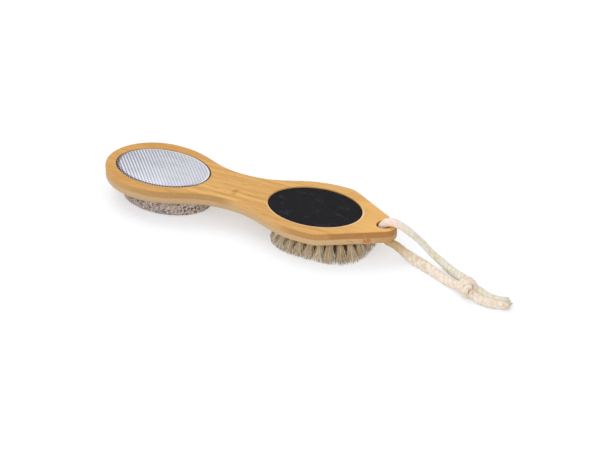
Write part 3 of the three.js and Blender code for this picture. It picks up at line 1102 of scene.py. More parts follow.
    def build(self) -> list[bpy.types.Object]:
        """Builds both boards.

        Returns:
            The upper board and the lower one.
        """
        low, high = node_box("bamboo_top_ply")
        underside = node_box("bamboo_bottom_ply")[0].z
        rasp_floor = node_box("rasp_adhesive_pad")[0].z
        emery_floor = node_box("emery_foam_backing")[0].z
        top = self.board(high.z, low.z, self.top_rim_radius)
        self.sink(top, Oval.round_node("steel_rasp_plate", self.pocket_gap), high.z, rasp_floor)
        self.sink(top, Oval.round_node("emery_sheet", self.pocket_gap), high.z, emery_floor)
        self.drill(top, high.z, low.z)
        bottom = self.board(underside, low.z, self.bottom_rim_radius)
        stone_ceiling = node_box("pumice_glue_bed")[1].z
        brush_ceiling = node_box("tuft_wire_1")[1].z
        self.sink(bottom, Oval.round_node("pumice_stone", self.pocket_gap), underside, stone_ceiling)
        self.sink(bottom, Oval.round_node("brush_board", self.pocket_gap), underside, brush_ceiling)
        self.drill(bottom, underside, low.z)
        golden = Bamboo(
            "golden_bamboo", Slot.BAMBOO_DARK,
            light=display(238, 188, 110), dark=display(198, 139, 62),
            rear_edge=display(190, 146, 88), waist_edge=display(223, 174, 110),
            front_edge=display(193, 140, 80), tip_edge=display(182, 126, 67),
            # The abrasive pocket, whose near rim gets a painted highlight.
            highlit_mouth=Oval.round_node("emery_sheet", self.pocket_gap),
        )
        return [
            self.finish_board(top, "bamboo_top_ply", golden, (high.z, low.z)),
            self.finish_board(bottom, "bamboo_bottom_ply", BOTTOM_BAMBOO, (underside, low.z)),
        ]


@dataclass
class RaspPlate:
    """The pressed steel plate, with a rolled rim and staggered rows of teeth on a low dome."""

    sheet: float = 0.6 * MM
    rim_band: float = 1.5 * MM
    rim_round: float = 0.7 * MM
    rim_recess: float = 0.35 * MM
    dome_rise: float = 1.2 * MM
    tooth_pitch: float = 2.9 * MM
    row_pitch: float = 1.71 * MM
    tooth_length: float = 1.9 * MM
    tooth_width: float = 1.3 * MM
    tooth_height: float = 0.45 * MM
    tooth_root: float = 0.12 * MM
    tooth_lean: float = 0.4 * MM
    tooth_sides: int = 6
    tooth_tip: float = 0.07
    rim_steps: int = 5
    dome_middle: float = 0.02
    oval_steps: int = 160
    dome_rings: int = 14

    def __post_init__(self) -> None:
        """Takes the plate's outline and levels from the frame."""
        self.oval = Oval.round_node("steel_rasp_plate")
        self.floor = node_box("steel_rasp_plate")[0].z
        self.rim_top = node_box("bamboo_top_ply")[1].z - self.rim_recess
        self.field = Oval(
            self.oval.centre_x, self.oval.half_length - self.rim_band, self.oval.half_width - self.rim_band,
        )

    def height(self, share: float) -> float:
        """The dome's height at a share of the way out to the rim."""
        return self.rim_top + self.dome_rise * (1 - share * share)

    def tooth(self) -> bpy.types.Mesh:
        """One tooth: a low point that leans along the handle.

        Returns:
            The tooth, rooted a little below height 0.
        """
        blank = Blank()
        bmesh.ops.create_cone(
            blank.bm, cap_ends=True, segments=self.tooth_sides,
            radius1=0.5, radius2=self.tooth_tip, depth=1.0,
        )
        tall = self.tooth_height + self.tooth_root
        shape = Matrix.Diagonal((self.tooth_length, self.tooth_width, tall, 1.0))
        lean = Matrix.Identity(4)
        lean[0][2] = self.tooth_lean / tall
        lift = Matrix.Translation((0.0, 0.0, tall / 2 - self.tooth_root))
        bmesh.ops.transform(blank.bm, matrix=lift @ lean @ shape, verts=blank.bm.verts)
        return blank.mesh("rasp_tooth")

    def build(self) -> list[bpy.types.Object]:
        """Builds the sheet, then sets the teeth on it.

        Returns:
            The plate and its glue.
        """
        blank = Blank()
        skirt = [self.oval.level(-self.sheet, self.floor), self.oval.level(0.0, self.floor)]
        rim = quarter_round(self.rim_round, self.rim_steps)
        skirt += [self.oval.level(-away, self.rim_top - drop) for away, drop in rim]
        shares = [1 - ring / self.dome_rings for ring in range(self.dome_rings)]
        dome = [self.field.within(share, self.height(share)) for share in (*shares, self.dome_middle)]
        blank.turned([*skirt, *dome], self.oval_steps, (True, True))
        blank.crease(SHARP_CREASE)
        tooth = self.tooth()
        rows = math.floor(self.field.half_width / self.row_pitch)
        columns = math.ceil(self.field.half_length / self.tooth_pitch)
        for row in range(-rows, rows + 1):
            stagger = 0.0 if row % 2 == 0 else self.tooth_pitch / 2
            for column in range(-columns, columns + 1):
                x, y = column * self.tooth_pitch + stagger, row * self.row_pitch
                edge = math.hypot(
                    x / (self.field.half_length - self.tooth_length),
                    y / (self.field.half_width - self.tooth_width),
                )
                share = math.hypot(x / self.field.half_length, y / self.field.half_width)
                if edge < 1:
                    spot = (self.oval.centre_x + x, y, self.height(share))
                    blank.add(tooth, Matrix.Translation(spot))
        steel = RaspSteel("toothed_steel", Slot.RASP_STEEL, self.tooth_pitch, self.row_pitch, self.oval)
        plate = blank.deliver("rasp_plate_toothed", Body.HANDLE, steel, ["steel_rasp_plate"])
        return [plate, dress_node("rasp_adhesive_pad", SET_GLUE)]


@dataclass
class AbrasivePad:
    """The black abrasive sheet on its foam."""

    edge_round: float = 0.12 * MM
    edge_steps: int = 3
    oval_steps: int = 160

    def build(self) -> list[bpy.types.Object]:
        """Builds the sheet and dresses the foam.

        Returns:
            The sheet and its foam.
        """
        low, high = node_box("emery_sheet")
        oval = Oval.round_node("emery_sheet")
        blank = Blank()
        levels = [oval.level(0.0, low.z)]
        rounding = quarter_round(self.edge_round, self.edge_steps)
        levels += [oval.level(-away, high.z - drop) for away, drop in rounding]
        blank.turned(levels, self.oval_steps, (True, True))
        blank.crease(SHARP_CREASE)
        grit = EmeryGrit("emery_grit", Slot.EMERY)
        sheet = even_shading(blank.deliver("emery_sheet_gritted", Body.HANDLE, grit, ["emery_sheet"]))
        return [sheet, dress_node("emery_foam_backing", CLOSED_FOAM)]


@dataclass
class PumiceStone:
    """The oval stone, full of pores."""

    edge_round: float = 1.8 * MM
    edge_steps: int = 5
    voxel: float = 0.42 * MM
    pore_pitches: tuple[float, ...] = (1.5 * MM, 2.7 * MM)
    pore_depths: tuple[float, ...] = (0.45 * MM, 0.7 * MM)
    pore_share: float = 0.4
    pore_spread: Span = (0.7, 0.6)
    least_pore: float = 0.05
    wear_depth: float = 0.35 * MM
    wear_grain: float = 9 * MM
    oval_steps: int = 120

    def body(self) -> bpy.types.Mesh:
        """The stone's plain shape, remeshed evenly enough to carve.

        Returns:
            The shape.
        """
        low, high = node_box("pumice_stone")
        oval = Oval.round_node("pumice_stone")
        blank = Blank()
        rounding = quarter_round(self.edge_round, self.edge_steps)
        levels = [oval.level(-away, low.z + drop) for away, drop in reversed(rounding)]
        levels += [oval.level(-away, high.z - drop) for away, drop in rounding]
        blank.turned(levels, self.oval_steps, (True, True))
        stone = bpy.data.objects.new("stone_body", blank.mesh("stone_body"))
        bpy.context.scene.collection.objects.link(stone)
        remesh = stone.modifiers.new("even_mesh", "REMESH")
        remesh.mode = "VOXEL"
        remesh.voxel_size = self.voxel
        graph = bpy.context.evaluated_depsgraph_get()
        even = bpy.data.meshes.new_from_object(stone.evaluated_get(graph))
        bpy.data.objects.remove(stone)
        return even

    def pore(self, place: Vector, pitch: float) -> float:
        """How deep a point lies in the pores of one size, from 0 to 1.

        Args:
            place: The point.
            pitch: The distance between such pores, about.

        Returns:
            The share of a pore's full depth.
        """
        near = noise.voronoi(place / pitch)[0][0]
        least, spread = self.pore_spread
        size = self.pore_share * (least + spread * noise.noise(place / pitch / 2))
        return max(0.0, 1 - (near / max(size, self.least_pore)) ** 2)

    def build(self) -> list[bpy.types.Object]:
        """Carves the pores and hands the stone over.

        Returns:
            The stone and its glue.
        """
        blank = Blank()
        blank.bm.from_mesh(self.body())
        blank.bm.normal_update()
        pits = []
        for vert in blank.bm.verts:
            depths = [self.pore(vert.co, pitch) for pitch in self.pore_pitches]
            wear_and_highlight = 0.5 + 0.5 * noise.noise(vert.co / self.wear_grain)
            sunk = self.wear_depth * wear_and_highlight
            sunk += max(depth * full for depth, full in zip(depths, self.pore_depths, strict=True))
            vert.co -= vert.normal * sunk
            pits.append(min(1.0, max(depths)))
        blank.mark("pore", pits)
        for face in blank.bm.faces:
            face.smooth = True
        froth = Pumice("porous_stone", Slot.PUMICE)
        stone = blank.deliver("pumice_stone_porous", Body.HANDLE, froth, ["pumice_stone"])
        return [stone, dress_node("pumice_glue_bed", SET_GLUE)]


@dataclass
class BristleBrush:
    """Tufts of natural hair in rings, let into an oval board."""

    tuft_edge: float = 3.2 * MM
    ring_pitch: float = 6.6 * MM
    tuft_pitch: float = 6.9 * MM
    root_radius: float = 1.75 * MM
    tip_radius: float = 5 * MM
    flare: float = 1.2 * MM
    splay: tuple[float, float] = (5 * MM, 5.4 * MM)
    corner_splay: float = 1.9
    drift: Vector = field(default_factory=lambda: Vector((0.2, -2.2)) * MM)
    root_margin: float = 1.2 * MM
    trimmed_half: Vector = field(default_factory=lambda: Vector((38.2, 30)) * MM)
    trimmed_shift: float = 1.3 * MM
    trimmed_squareness: Span = (2.5, 3.6)
    stray_share: float = 0.12
    disorder: float = 0.6 * MM
    hair_radius: float = 0.23 * MM
    tip_unevenness: float = 0.4 * MM
    bow_share: float = 0.04
    hair_taper: float = 0.35
    tip_stray: float = 0.22
    tuft_shade_share: float = 0.4
    board_gap: float = 0.05 * MM
    hairs_in_tuft: int = 92
    tuft_kinds: int = 5
    hair_sides: int = 3
    hair_steps: int = 4
    ring_fineness: int = 40
    golden_angle: float = math.pi * (3 - math.sqrt(5))
    oval_steps: int = 120
    chance: random.Random = field(default_factory=lambda: random.Random(SEED))

    def __post_init__(self) -> None:
        """Takes the board's outline and levels from the frame."""
        self.oval = Oval.round_node("brush_board")
        self.underside = node_box("bamboo_bottom_ply")[0].z
        self.board_bottom = node_box("brush_board")[0].z

    def stray(self) -> Vector:
        """A chance step of up to 1 either way, along and across."""
        return Vector((self.chance.uniform(-1, 1), self.chance.uniform(-1, 1)))

    def hair(self) -> bpy.types.Mesh:
        """One hair of unit height that bows a little, hanging from z = 1 to z = 0.

        Returns:
            The hair.
        """
        blank = Blank()
        shares = [step / self.hair_steps for step in range(self.hair_steps + 1)]
        levels = []
        for share in shares:
            thick = self.hair_radius * (1 - self.hair_taper * share)
            bow = self.bow_share * self.underside * math.sin(math.pi * share)
            size = Matrix.Diagonal((thick, thick, 1.0, 1.0))
            levels.append(Matrix.Translation((bow, 0.0, 1 - share)) @ size)
        blank.turned(levels, self.hair_sides, (True, True))
        return blank.mesh("brush_hair")

    def tuft(self, hair: bpy.types.Mesh, kind: int) -> bpy.types.Mesh:
        """One tuft under its hole, opening towards its trimmed end.

        Args:
            hair: The hair that it is made of.
            kind: Its number, which turns its pattern.

        Returns:
            The tuft about the vertical axis.
        """
        blank = Blank()
        for index in range(self.hairs_in_tuft):
            out = math.sqrt((index + 0.5) / self.hairs_in_tuft)
            angle = index * self.golden_angle + kind
            ray = Vector((math.cos(angle), math.sin(angle)))
            stray = self.stray() * self.tip_stray * self.tip_radius
            root = ray * out * self.root_radius
            tip = ray * out * self.tip_radius + stray
            end = self.chance.uniform(0, self.tip_unevenness)
            tall = self.board_bottom - end
            lay = Matrix((
                (1, 0, root.x - tip.x, tip.x),
                (0, 1, root.y - tip.y, tip.y),
                (0, 0, tall, end),
                (0, 0, 0, 1),
            ))
            known = len(blank.bm.verts)
            blank.add(hair, lay @ Matrix.Rotation(self.chance.uniform(0, 2 * math.pi), 4, "Z"))
            for vert in blank.bm.verts[known:]:
                vert.co.xy -= ray * out * self.flare * math.sin(math.pi * vert.co.z / self.board_bottom)
        return blank.mesh(f"brush_tuft_{kind}")

    def rings(self) -> list[list[Vector]]:
        """The holes of the tufts, ring by ring, at even steps along each oval.

        Returns:
            The holes of each ring, from the outermost ring inwards.
        """
        made = []
        inset = self.tuft_edge
        while inset < self.oval.half_width - self.tuft_edge / 2:
            size = Vector((self.oval.half_length - inset, self.oval.half_width - inset))
            around = math.pi * size.length * math.sqrt(2)
            count = round(around / self.tuft_pitch)
            fine = self.ring_fineness * count
            angles = [2 * math.pi * step / fine for step in range(fine + 1)]
            line = [Vector((size.x * math.cos(angle), size.y * math.sin(angle))) for angle in angles]
            lengths = [0.0]
            for before, after in pairwise(line):
                lengths.append(lengths[-1] + (after - before).length)
            stagger = len(made) % 2 / 2
            wanted = [lengths[-1] * (index + stagger) / count for index in range(count)]
            made.append([
                next(spot for spot, length in zip(line, lengths, strict=True) if length >= mark)
                for mark in wanted
            ])
            inset += self.ring_pitch
        return made

    def build(self) -> list[bpy.types.Object]:
        """Builds the tufts and the face of the board, and dresses the inner pieces.

        Returns:
            The hair, the board's face, the board and its wires.
        """
        hair = self.hair()
        tufts = [self.tuft(hair, kind) for kind in range(self.tuft_kinds)]
        blank = Blank()
        inner_verts = []
        for number, hole in ((number, hole) for number, ring in enumerate(self.rings()) for hole in ring):
            lean = Matrix.Identity(4)
            out = Vector((hole.x / self.oval.half_length, hole.y / self.oval.half_width))
            corner = 1 + self.corner_splay * abs(out.x * out.y)
            swing = Vector((out.x * self.splay[0], out.y * self.splay[1])) * corner
            swing += self.stray() * self.disorder + self.drift
            lean[0][2], lean[1][2] = -swing.x / self.board_bottom, -swing.y / self.board_bottom
            spot = Matrix.Translation((self.oval.centre_x + hole.x + swing.x, hole.y + swing.y, 0.0))
            spin = Matrix.Rotation(self.chance.uniform(0, 2 * math.pi), 4, "Z")
            blank.add(self.chance.choice(tufts), spot @ lean @ spin)
            inner_verts += [float(number > 0)] * (len(blank.bm.verts) - len(inner_verts))
        self.shade(blank, len(hair.vertices))
        blank.mark("inner", inner_verts)
        self.trim(blank)
        natural = Bristle("natural_bristle", Slot.BRISTLE)
        tufts_piece = blank.deliver("bristle_tufts", Body.HANDLE, natural, ["bristle_field"], outward=False)
        pieces = [tufts_piece, self.board_face(), dress_node("brush_board", BOTTOM_BAMBOO)]
        wires = [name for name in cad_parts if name.startswith("tuft_wire")]
        return pieces + [dress_node(name, DRAWN_WIRE) for name in wires]

    def trim(self, blank: Blank) -> None:
        """Brings hair that strays beyond the brush's even contour most of the way back.

        Args:
            blank: The tufts under work.
        """
        root_half = Vector((self.oval.half_length, self.oval.half_width)) - Vector((1, 1)) * self.root_margin
        for vert in blank.bm.verts:
            reach = 1 - vert.co.z / self.board_bottom
            half = root_half.lerp(self.trimmed_half, reach)
            shift = (self.drift + Vector((self.trimmed_shift, 0.0))) * reach
            middle = Vector((self.oval.centre_x, 0.0)) + shift
            away = vert.co.xy - middle
            power = self.trimmed_squareness[away.x > 0]
            share = (abs(away.x / half.x) ** power + abs(away.y / half.y) ** power) ** (1 / power)
            if share > 1:
                vert.co.xy = middle + away * (1 + (share - 1) * self.stray_share) / share

    def shade(self, blank: Blank, verts_in_hair: int) -> None:
        """Gives each hair a shade near its tuft's and each point its reach from the board.

        Args:
            blank: The tufts under work.
            verts_in_hair: How many vertices a hair has.
        """
        hairs = len(blank.bm.verts) // verts_in_hair
        of_tufts = [self.chance.random() for _ in range(hairs // self.hairs_in_tuft)]
        own = 1 - self.tuft_shade_share
        shades = [
            self.tuft_shade_share * of_tufts[number // self.hairs_in_tuft] + own * self.chance.random()
            for number in range(hairs)
        ]
        blank.mark("shade", [shades[index // verts_in_hair] for index in range(len(blank.bm.verts))])
        blank.mark("reach", [1 - vert.co.z / self.board_bottom for vert in blank.bm.verts])
        for face in blank.bm.faces:
            face.smooth = len(face.verts) == 4

    def board_face(self) -> bpy.types.Object:
        """The slice of board that the hair comes out of.

        Returns:
            The slice.
        """
        blank = Blank()
        heights = (self.underside, self.board_bottom - self.board_gap)
        levels = [self.oval.level(0.0, height) for height in heights]
        blank.turned(levels, self.oval_steps, (True, True))
        blank.crease(SHARP_CREASE)
        blank.mark("sideways", [0.0] * len(blank.bm.verts))
        return blank.deliver("brush_board_face", Body.HANDLE, BOTTOM_BAMBOO)


class Route:
    """A smooth line through given points, with frames that carry a section along it."""

    steps_between: int = 24

    def __init__(self, knots: Sequence[Vector], step: float) -> None:
        """Samples the line.

        Args:
            knots: The points that it passes through.
            step: The distance between samples, about.
        """
        fine = self._smooth(knots)
        lengths = [0.0]
        for before, after in pairwise(fine):
            lengths.append(lengths[-1] + (after - before).length)
        self.length = lengths[-1]
        count = round(self.length / step)
        self.step = self.length / count
        self.points = [self._at(fine, lengths, self.step * index) for index in range(count + 1)]
        self.frames = self._frames()

    @classmethod
    def _smooth(cls, knots: Sequence[Vector]) -> list[Vector]:
        """A curve through the knots whose pull at each depends on the distances beside it.

        Args:
            knots: The points that it passes through.

        Returns:
            Close points along the curve.
        """
        ends = [2 * knots[0] - knots[1], *knots, 2 * knots[-1] - knots[-2]]
        line = [knots[0]]
        for first, start, end, last in zip(ends, ends[1:], ends[2:], ends[3:]):
            before, middle, after = (
                math.sqrt((b - a).length) for a, b in ((first, start), (start, end), (end, last))
            )
            leave = (start - first) / before - (end - first) / (before + middle) + (end - start) / middle
            arrive = (end - start) / middle - (last - start) / (middle + after) + (last - end) / after
            pull = middle / 3
            handles = start + leave * pull, end - arrive * pull
            line += geometry.interpolate_bezier(start, *handles, end, cls.steps_between)[1:]
        return line

    @staticmethod
    def _at(line: Sequence[Vector], lengths: Sequence[float], wanted: float) -> Vector:
        """The point at a distance along a line.

        Args:
            line: The line's points.
            lengths: How far along it each point lies.
            wanted: The distance.

        Returns:
            The point.
        """
        for index in range(1, len(line)):
            if lengths[index] >= wanted:
                share = (wanted - lengths[index - 1]) / (lengths[index] - lengths[index - 1])
                return line[index - 1].lerp(line[index], share)
        return line[-1].copy()

    def _frames(self) -> list[Matrix]:
        """A frame at each sample that turns no more than the line does.

        Returns:
            The frames.
        """
        frames = []
        side = Vector((0, 1, 0))
        last = len(self.points) - 1
        for index, point in enumerate(self.points):
            ahead = (self.points[min(index + 1, last)] - self.points[max(index - 1, 0)]).normalized()
            side = (side - ahead * side.dot(ahead)).normalized()
            across = ahead.cross(side)
            turn = Matrix((side, across, ahead)).transposed().to_4x4()
            frames.append(Matrix.Translation(point) @ turn)
        return frames

    def carry(self, spot: Vector) -> Vector:
        """Moves a point from beside a straight line up Z to beside this one.

        Args:
            spot: The point beside the straight line.

        Returns:
            The point beside this line.
        """
        index = min(max(round(spot.z / self.step), 0), len(self.frames) - 1)
        over = spot.z - index * self.step
        return self.frames[index] @ Vector((spot.x, spot.y, over))


@dataclass(frozen=True)
class TwistedCotton:
    """Three-strand cotton rope, laid up straight and then bent along its route."""

    radius: float = 2.7 * MM
    strands: int = 3
    lay: float = 15 * MM
    groove: float = 0.06
    step: float = 0.6 * MM
    section_steps: int = 30
    end_round: float = 0.7 * MM
    end_taper: float = 0.4
    fullness: tuple[float, ...] = (1.0, 1.0)
    by_hole_reach: float = 0.0
    floor_gap: float = 0.1 * MM

    def straight(self, length: float, steps: int) -> Blank:
        """A straight rope up Z.

        Args:
            length: Its length.
            steps: The number of rings less one.

        Returns:
            The rope under work, with where each point lies in its strand.
        """
        blank = Blank()
        ring = blank.ring(Matrix.Scale(self.radius, 4), self.section_steps)
        verts = {vert for edge in ring for vert in edge.verts}
        for vert in verts:
            angle = math.atan2(vert.co.y, vert.co.x)
            swell = abs(math.cos(angle * self.strands / 2))
            vert.co *= 1 - self.groove * (1 - swell)
        twist = 2 * math.pi * length / self.lay
        spun = bmesh.ops.spin(
            blank.bm, geom=[*verts, *ring], axis=(0, 0, 1), cent=(0, 0, 0), dvec=(0, 0, length / steps),
            angle=twist, steps=steps, use_merge=False,
        )["geom_last"]
        blank.cap([part for part in spun if isinstance(part, BMEdge)])
        blank.cap([edge for edge in blank.bm.edges if edge.is_boundary])
        laid = blank.bm.verts.layers.float_vector.new("laid")
        for vert in blank.bm.verts:
            back = Matrix.Rotation(-twist * vert.co.z / length, 4, "Z")
            vert[laid] = back @ vert.co
        depths = [(1 - vert.co.xy.length / self.radius) / self.groove for vert in blank.bm.verts]
        blank.mark("groove", depths)
        return blank

    def along(self, route: Route) -> Blank:
        """The rope bent along a route, with slightly softened ends.

        Args:
            route: The route.

        Returns:
            The rope under work.
        """
        steps = len(route.points) - 1
        blank = self.straight(route.length, steps)
        # How near each point lies to the hole, where the finish lays painted shade on the lower strand and a
        # tint on the upper one.
        if self.by_hole_reach:
            blank.mark("near_hole", [max(0.0, 1 - vert.co.z / self.by_hole_reach) for vert in blank.bm.verts])
        for vert in blank.bm.verts:
            vert.co.xy *= self.full(vert.co.z / route.length)
            to_end = min(vert.co.z, route.length - vert.co.z)
            if to_end < self.end_round:
                share = 1 - to_end / self.end_round
                vert.co.xy *= math.sqrt(1 - self.end_taper * share * share)
            vert.co = route.carry(vert.co)
            vert.co.z = max(vert.co.z, self.floor_gap)
        for face in blank.bm.faces:
            face.smooth = True
        return blank

    def full(self, share: float) -> float:
        """How full the rope is at a share of its length, with 1 for its plain radius.

        Args:
            share: The share of the rope's length.

        Returns:
            The factor on its radius.
        """
        place = share * (len(self.fullness) - 1)
        index = min(max(int(place), 0), len(self.fullness) - 2)
        over = min(max(place - index, 0.0), 1.0)
        over *= over * (3 - 2 * over)
        return self.fullness[index] * (1 - over) + self.fullness[index + 1] * over


@dataclass
class RopeLoop:
    """The cotton rope through the hole: two strands, the knot that ties them and two frayed tails."""

    rope: TwistedCotton = TwistedCotton()
    upper_fullness: tuple[float, ...] = (1.2, 1.2, 1.05, 0.94, 0.96, 1.05, 1.2, 1.25, 1.1)
    lower_fullness: tuple[float, ...] = (1.1, 1.1, 1.2, 1.5, 1.5, 1.38, 1.28, 1.15, 1.0)
    tail_fullness: tuple[float, ...] = (1.1, 1.2, 1.3, 1.25, 1.15, 0.9)
    tail_round: float = 5.5 * MM
    tail_taper: float = 0.8
    by_hole_reach: float = 34 * MM
    handle_middle: float = 19.2 * MM
    bend_radius: float = 9.1 * MM
    bend_x: float = 115.55 * MM
    bend_shares: tuple[float, ...] = (1.0, 0.75, 0.5, 0.25, 0.0)
    knot_centre: Vector = field(default_factory=lambda: Vector((184.4, -24.2, 7.3)) * MM)
    knot_turn: float = -0.62
    knot_tilt: float = -0.1
    knot_radius: float = 5 * MM
    knot_cord: float = 2.1 * MM
    knot_lay: float = 12 * MM
    tucked_share: float = 0.45
    tucked_spacing: float = 0.8
    knot_spacing: float = 3.7 * MM
    knot_wraps: int = 3
    knot_steps: int = 14
    fray_length: float = 9.5 * MM
    fray_solid: float = 7.5 * MM
    fray_fibres: int = 170
    fray_yarns: int = 9
    fray_tip: Vector = field(default_factory=lambda: Vector((221, -25.4, 2)) * MM)
    fray_gather: float = 0.2
    yarn_turn: float = 0.3
    yarn_away: Span = (0.6, 1.25)
    yarn_reach: Span = (0.55, 1.0)
    yarn_pull: float = 0.6
    fibre_radius: float = 0.17 * MM
    fibre_taper: float = 0.4
    fibre_reach: Span = (0.8, 1.1)
    fibre_root: Span = (0.7, 1.05)
    fibre_stray: Span = (0.0, 0.32)
    fibre_steps: int = 4
    ease_depth: float = 1.2 * MM
    chance: random.Random = field(default_factory=lambda: random.Random(SEED))

    upper_route: tuple[tuple[float, float, float], ...] = (
        (121.5, -0.4, 27.4),
        (126.2, -0.4, 25.4),
        (131, 0, 22.4),
        (136.6, 0.3, 18.4),
        (142, 0.3, 14),
        (147.6, 0, 9.8),
        (153.8, -0.8, 6.6),
        (161.5, -4.2, 4.6),
        (169.5, -9, 4.7),
        (176.2, -14.4, 7),
        (181.4, -18.9, 8.3),
        (184, -21.4, 8.4),
    )
    lower_route: tuple[tuple[float, float, float], ...] = (
        (120.8, -0.8, 8.6),
        (126, -1.6, 6.1),
        (132.4, -2.6, 3.8),
        (139.7, -4.6, 2.9),
        (148.5, -8.6, 2.9),
        (158, -13.4, 2.9),
        (166.4, -17.6, 2.9),
        (173, -20.9, 4),
        (178.2, -23.4, 5.9),
        (181.6, -24.2, 6.9),
    )
    front_tail_route: tuple[tuple[float, float, float], ...] = (
        (184, -24.5, 6.4),
        (191.2, -27.6, 3.9),
        (197, -29.5, 3),
        (203, -30.3, 2.9),
        (211, -29.6, 2.9),
        (218.5, -28, 2.9),
    )
    back_tail_route: tuple[tuple[float, float, float], ...] = (
        (184, -22.5, 7),
        (192.2, -21.8, 4.8),
        (198, -23.6, 3.4),
        (204.5, -24.5, 2.9),
        (211.5, -23.8, 2.9),
        (217, -22.5, 2.9),
    )

    def strand_route(self, side: int, places: Sequence[Sequence[float]]) -> Route:
        """A strand's route from the middle of the hole.

        Args:
            side: 1 for the strand over the tip, -1 for the one under it.
            places: The free route's points in millimetres.

        Returns:
            The route.
        """
        bend = []
        for share in self.bend_shares:
            angle = share * math.pi / 2
            x = self.bend_x - self.bend_radius * math.sin(angle)
            bend.append(Vector((x, 0.0, self.handle_middle + side * self.bend_radius * math.cos(angle))))
        return Route([*bend, *(Vector(place) * MM for place in places)], self.rope.step)

    def knot_route(self) -> Route:
        """The wraps of the knot, tucked in at both ends.

        Returns:
            The route of the wraps.
        """
        knots = []
        count = self.knot_wraps * self.knot_steps
        tuck = self.knot_steps // 3
        for index in range(count + 1):
            angle = 2 * math.pi * index / self.knot_steps
            pull = min(1.0, min(index, count - index) / tuck)
            rise = self.tucked_share + (1 - self.tucked_share) * math.sin(pull * math.pi / 2)
            across = self.knot_radius * rise * math.sin(angle)
            upward = self.knot_radius * rise * math.cos(angle)
            spread = self.tucked_spacing + (1 - self.tucked_spacing) * pull
            along = self.knot_spacing * (index / self.knot_steps - self.knot_wraps / 2) * spread
            knots.append(Vector((along + across * math.sin(self.knot_tilt), across, upward)))
        turn = Matrix.Rotation(self.knot_turn, 3, "Z")
        return Route([self.knot_centre + turn @ spot for spot in knots], self.rope.step)

    def fray(self, name: str, route: Route, finish: Finish) -> bpy.types.Object:
        """The loose fibres at a tail's end.

        Args:
            name: The piece's name.
            route: The tail's route.
            finish: Its cotton.

        Returns:
            The fibres.
        """
        blank = Blank()
        shares = [step / self.fibre_steps for step in range(self.fibre_steps + 1)]
        yarns = []
        for index in range(self.fray_yarns):
            turned = self.chance.uniform(-self.yarn_turn, self.yarn_turn)
            away = self.rope.radius * self.chance.uniform(*self.yarn_away)
            yarn = polar(2 * math.pi * (index + turned) / self.fray_yarns, away)
            yarns.append((yarn, self.chance.uniform(*self.yarn_reach) * self.fray_length))
        start = route.length - self.fray_solid
        for index in range(self.fray_fibres):
            yarn, reach = yarns[index % self.fray_yarns]
            reach *= self.chance.uniform(*self.fibre_reach)
            root = self.beside(self.fibre_root)
            root = root.lerp(yarn * (self.rope.radius / yarn.length), self.yarn_pull)
            loose = self.beside(self.fibre_stray)
            levels = []
            for share in shares:
                place = root.lerp(yarn + loose, share)
                place.z = start + reach * share
                thick = self.fibre_radius * (1 - self.fibre_taper * share)
                levels.append(Matrix.Translation(place) @ Matrix.Diagonal((thick, thick, 1.0, 1.0)))
            blank.turned(levels, 4, (True, True))
        laid = blank.bm.verts.layers.float_vector.new("laid")
        for vert in blank.bm.verts:
            vert[laid] = vert.co
            over = max(0.0, (vert.co.z - start) / self.fray_length)
            vert.co = route.carry(vert.co).lerp(self.fray_tip, self.fray_gather * over * over)
            vert.co.z = self.eased(vert.co.z, self.fibre_radius)
            vert.co.x = -self.eased(-vert.co.x, -CAD_BOX[1].x)
        blank.mark("groove", [self.chance.random() ** 3 for _ in blank.bm.verts])
        return blank.deliver(name, Body.ROPE_LOOP, finish)

    def beside(self, away: Span) -> Vector:
        """A chance point round the rope's middle, between two shares of its radius away."""
        return polar(self.chance.uniform(0, 2 * math.pi), self.rope.radius * self.chance.uniform(*away))

    def eased(self, value: float, least: float) -> float:
        """Holds a coordinate above its least value without laying any two fibres in one plane."""
        over = value - least - self.ease_depth
        return value if over >= 0 else least + self.ease_depth * math.exp(over / self.ease_depth)

    def build(self) -> list[bpy.types.Object]:
        """Builds the knot first, then the strands and tails that it ties.

        Returns:
            All the rope's pieces.
        """
        inner = TwistedCotton(radius=self.knot_cord, lay=self.knot_lay)
        knot = inner.along(self.knot_route()).deliver(
            "rope_knot_tied", Body.ROPE_LOOP, LOWER_COTTON, ["rope_knot"],
        )
        pieces = [knot]
        strands = (
            ("rope_upper_strand", 1, self.upper_route, self.upper_fullness, UPPER_COTTON),
            ("rope_lower_strand", -1, self.lower_route, self.lower_fullness, LOWER_COTTON),
        )
        for node, side, places, fullness, finish in strands:
            route = self.strand_route(side, places)
            loosened = replace(self.rope, fullness=fullness, by_hole_reach=self.by_hole_reach)
            strand = loosened.along(route).deliver(f"{node}_laid", Body.ROPE_LOOP, finish, [node])
            pieces.append(strand)
        tails = (
            ("rope_tail_front", self.front_tail_route, LOWER_COTTON),
            ("rope_tail_back", self.back_tail_route, UPPER_COTTON),
        )
        for node, places, finish in tails:
            route = Route([Vector(place) * MM for place in places], self.rope.step)
            loosened = replace(
                self.rope, fullness=self.tail_fullness, end_round=self.tail_round, end_taper=self.tail_taper,
            )
            tail = loosened.along(route).deliver(f"{node}_laid", Body.ROPE_LOOP, finish, [node])
            fray = self.fray(f"{node}_fray", route, finish)
            pieces += [tail, fray]
        return pieces


@dataclass(frozen=True)
class Lamp:
    """A square soft lamp that faces the paddle, with its side in metres and its power in watts."""

    name: str
    place: Sequence[float]
    side: float
    power: float


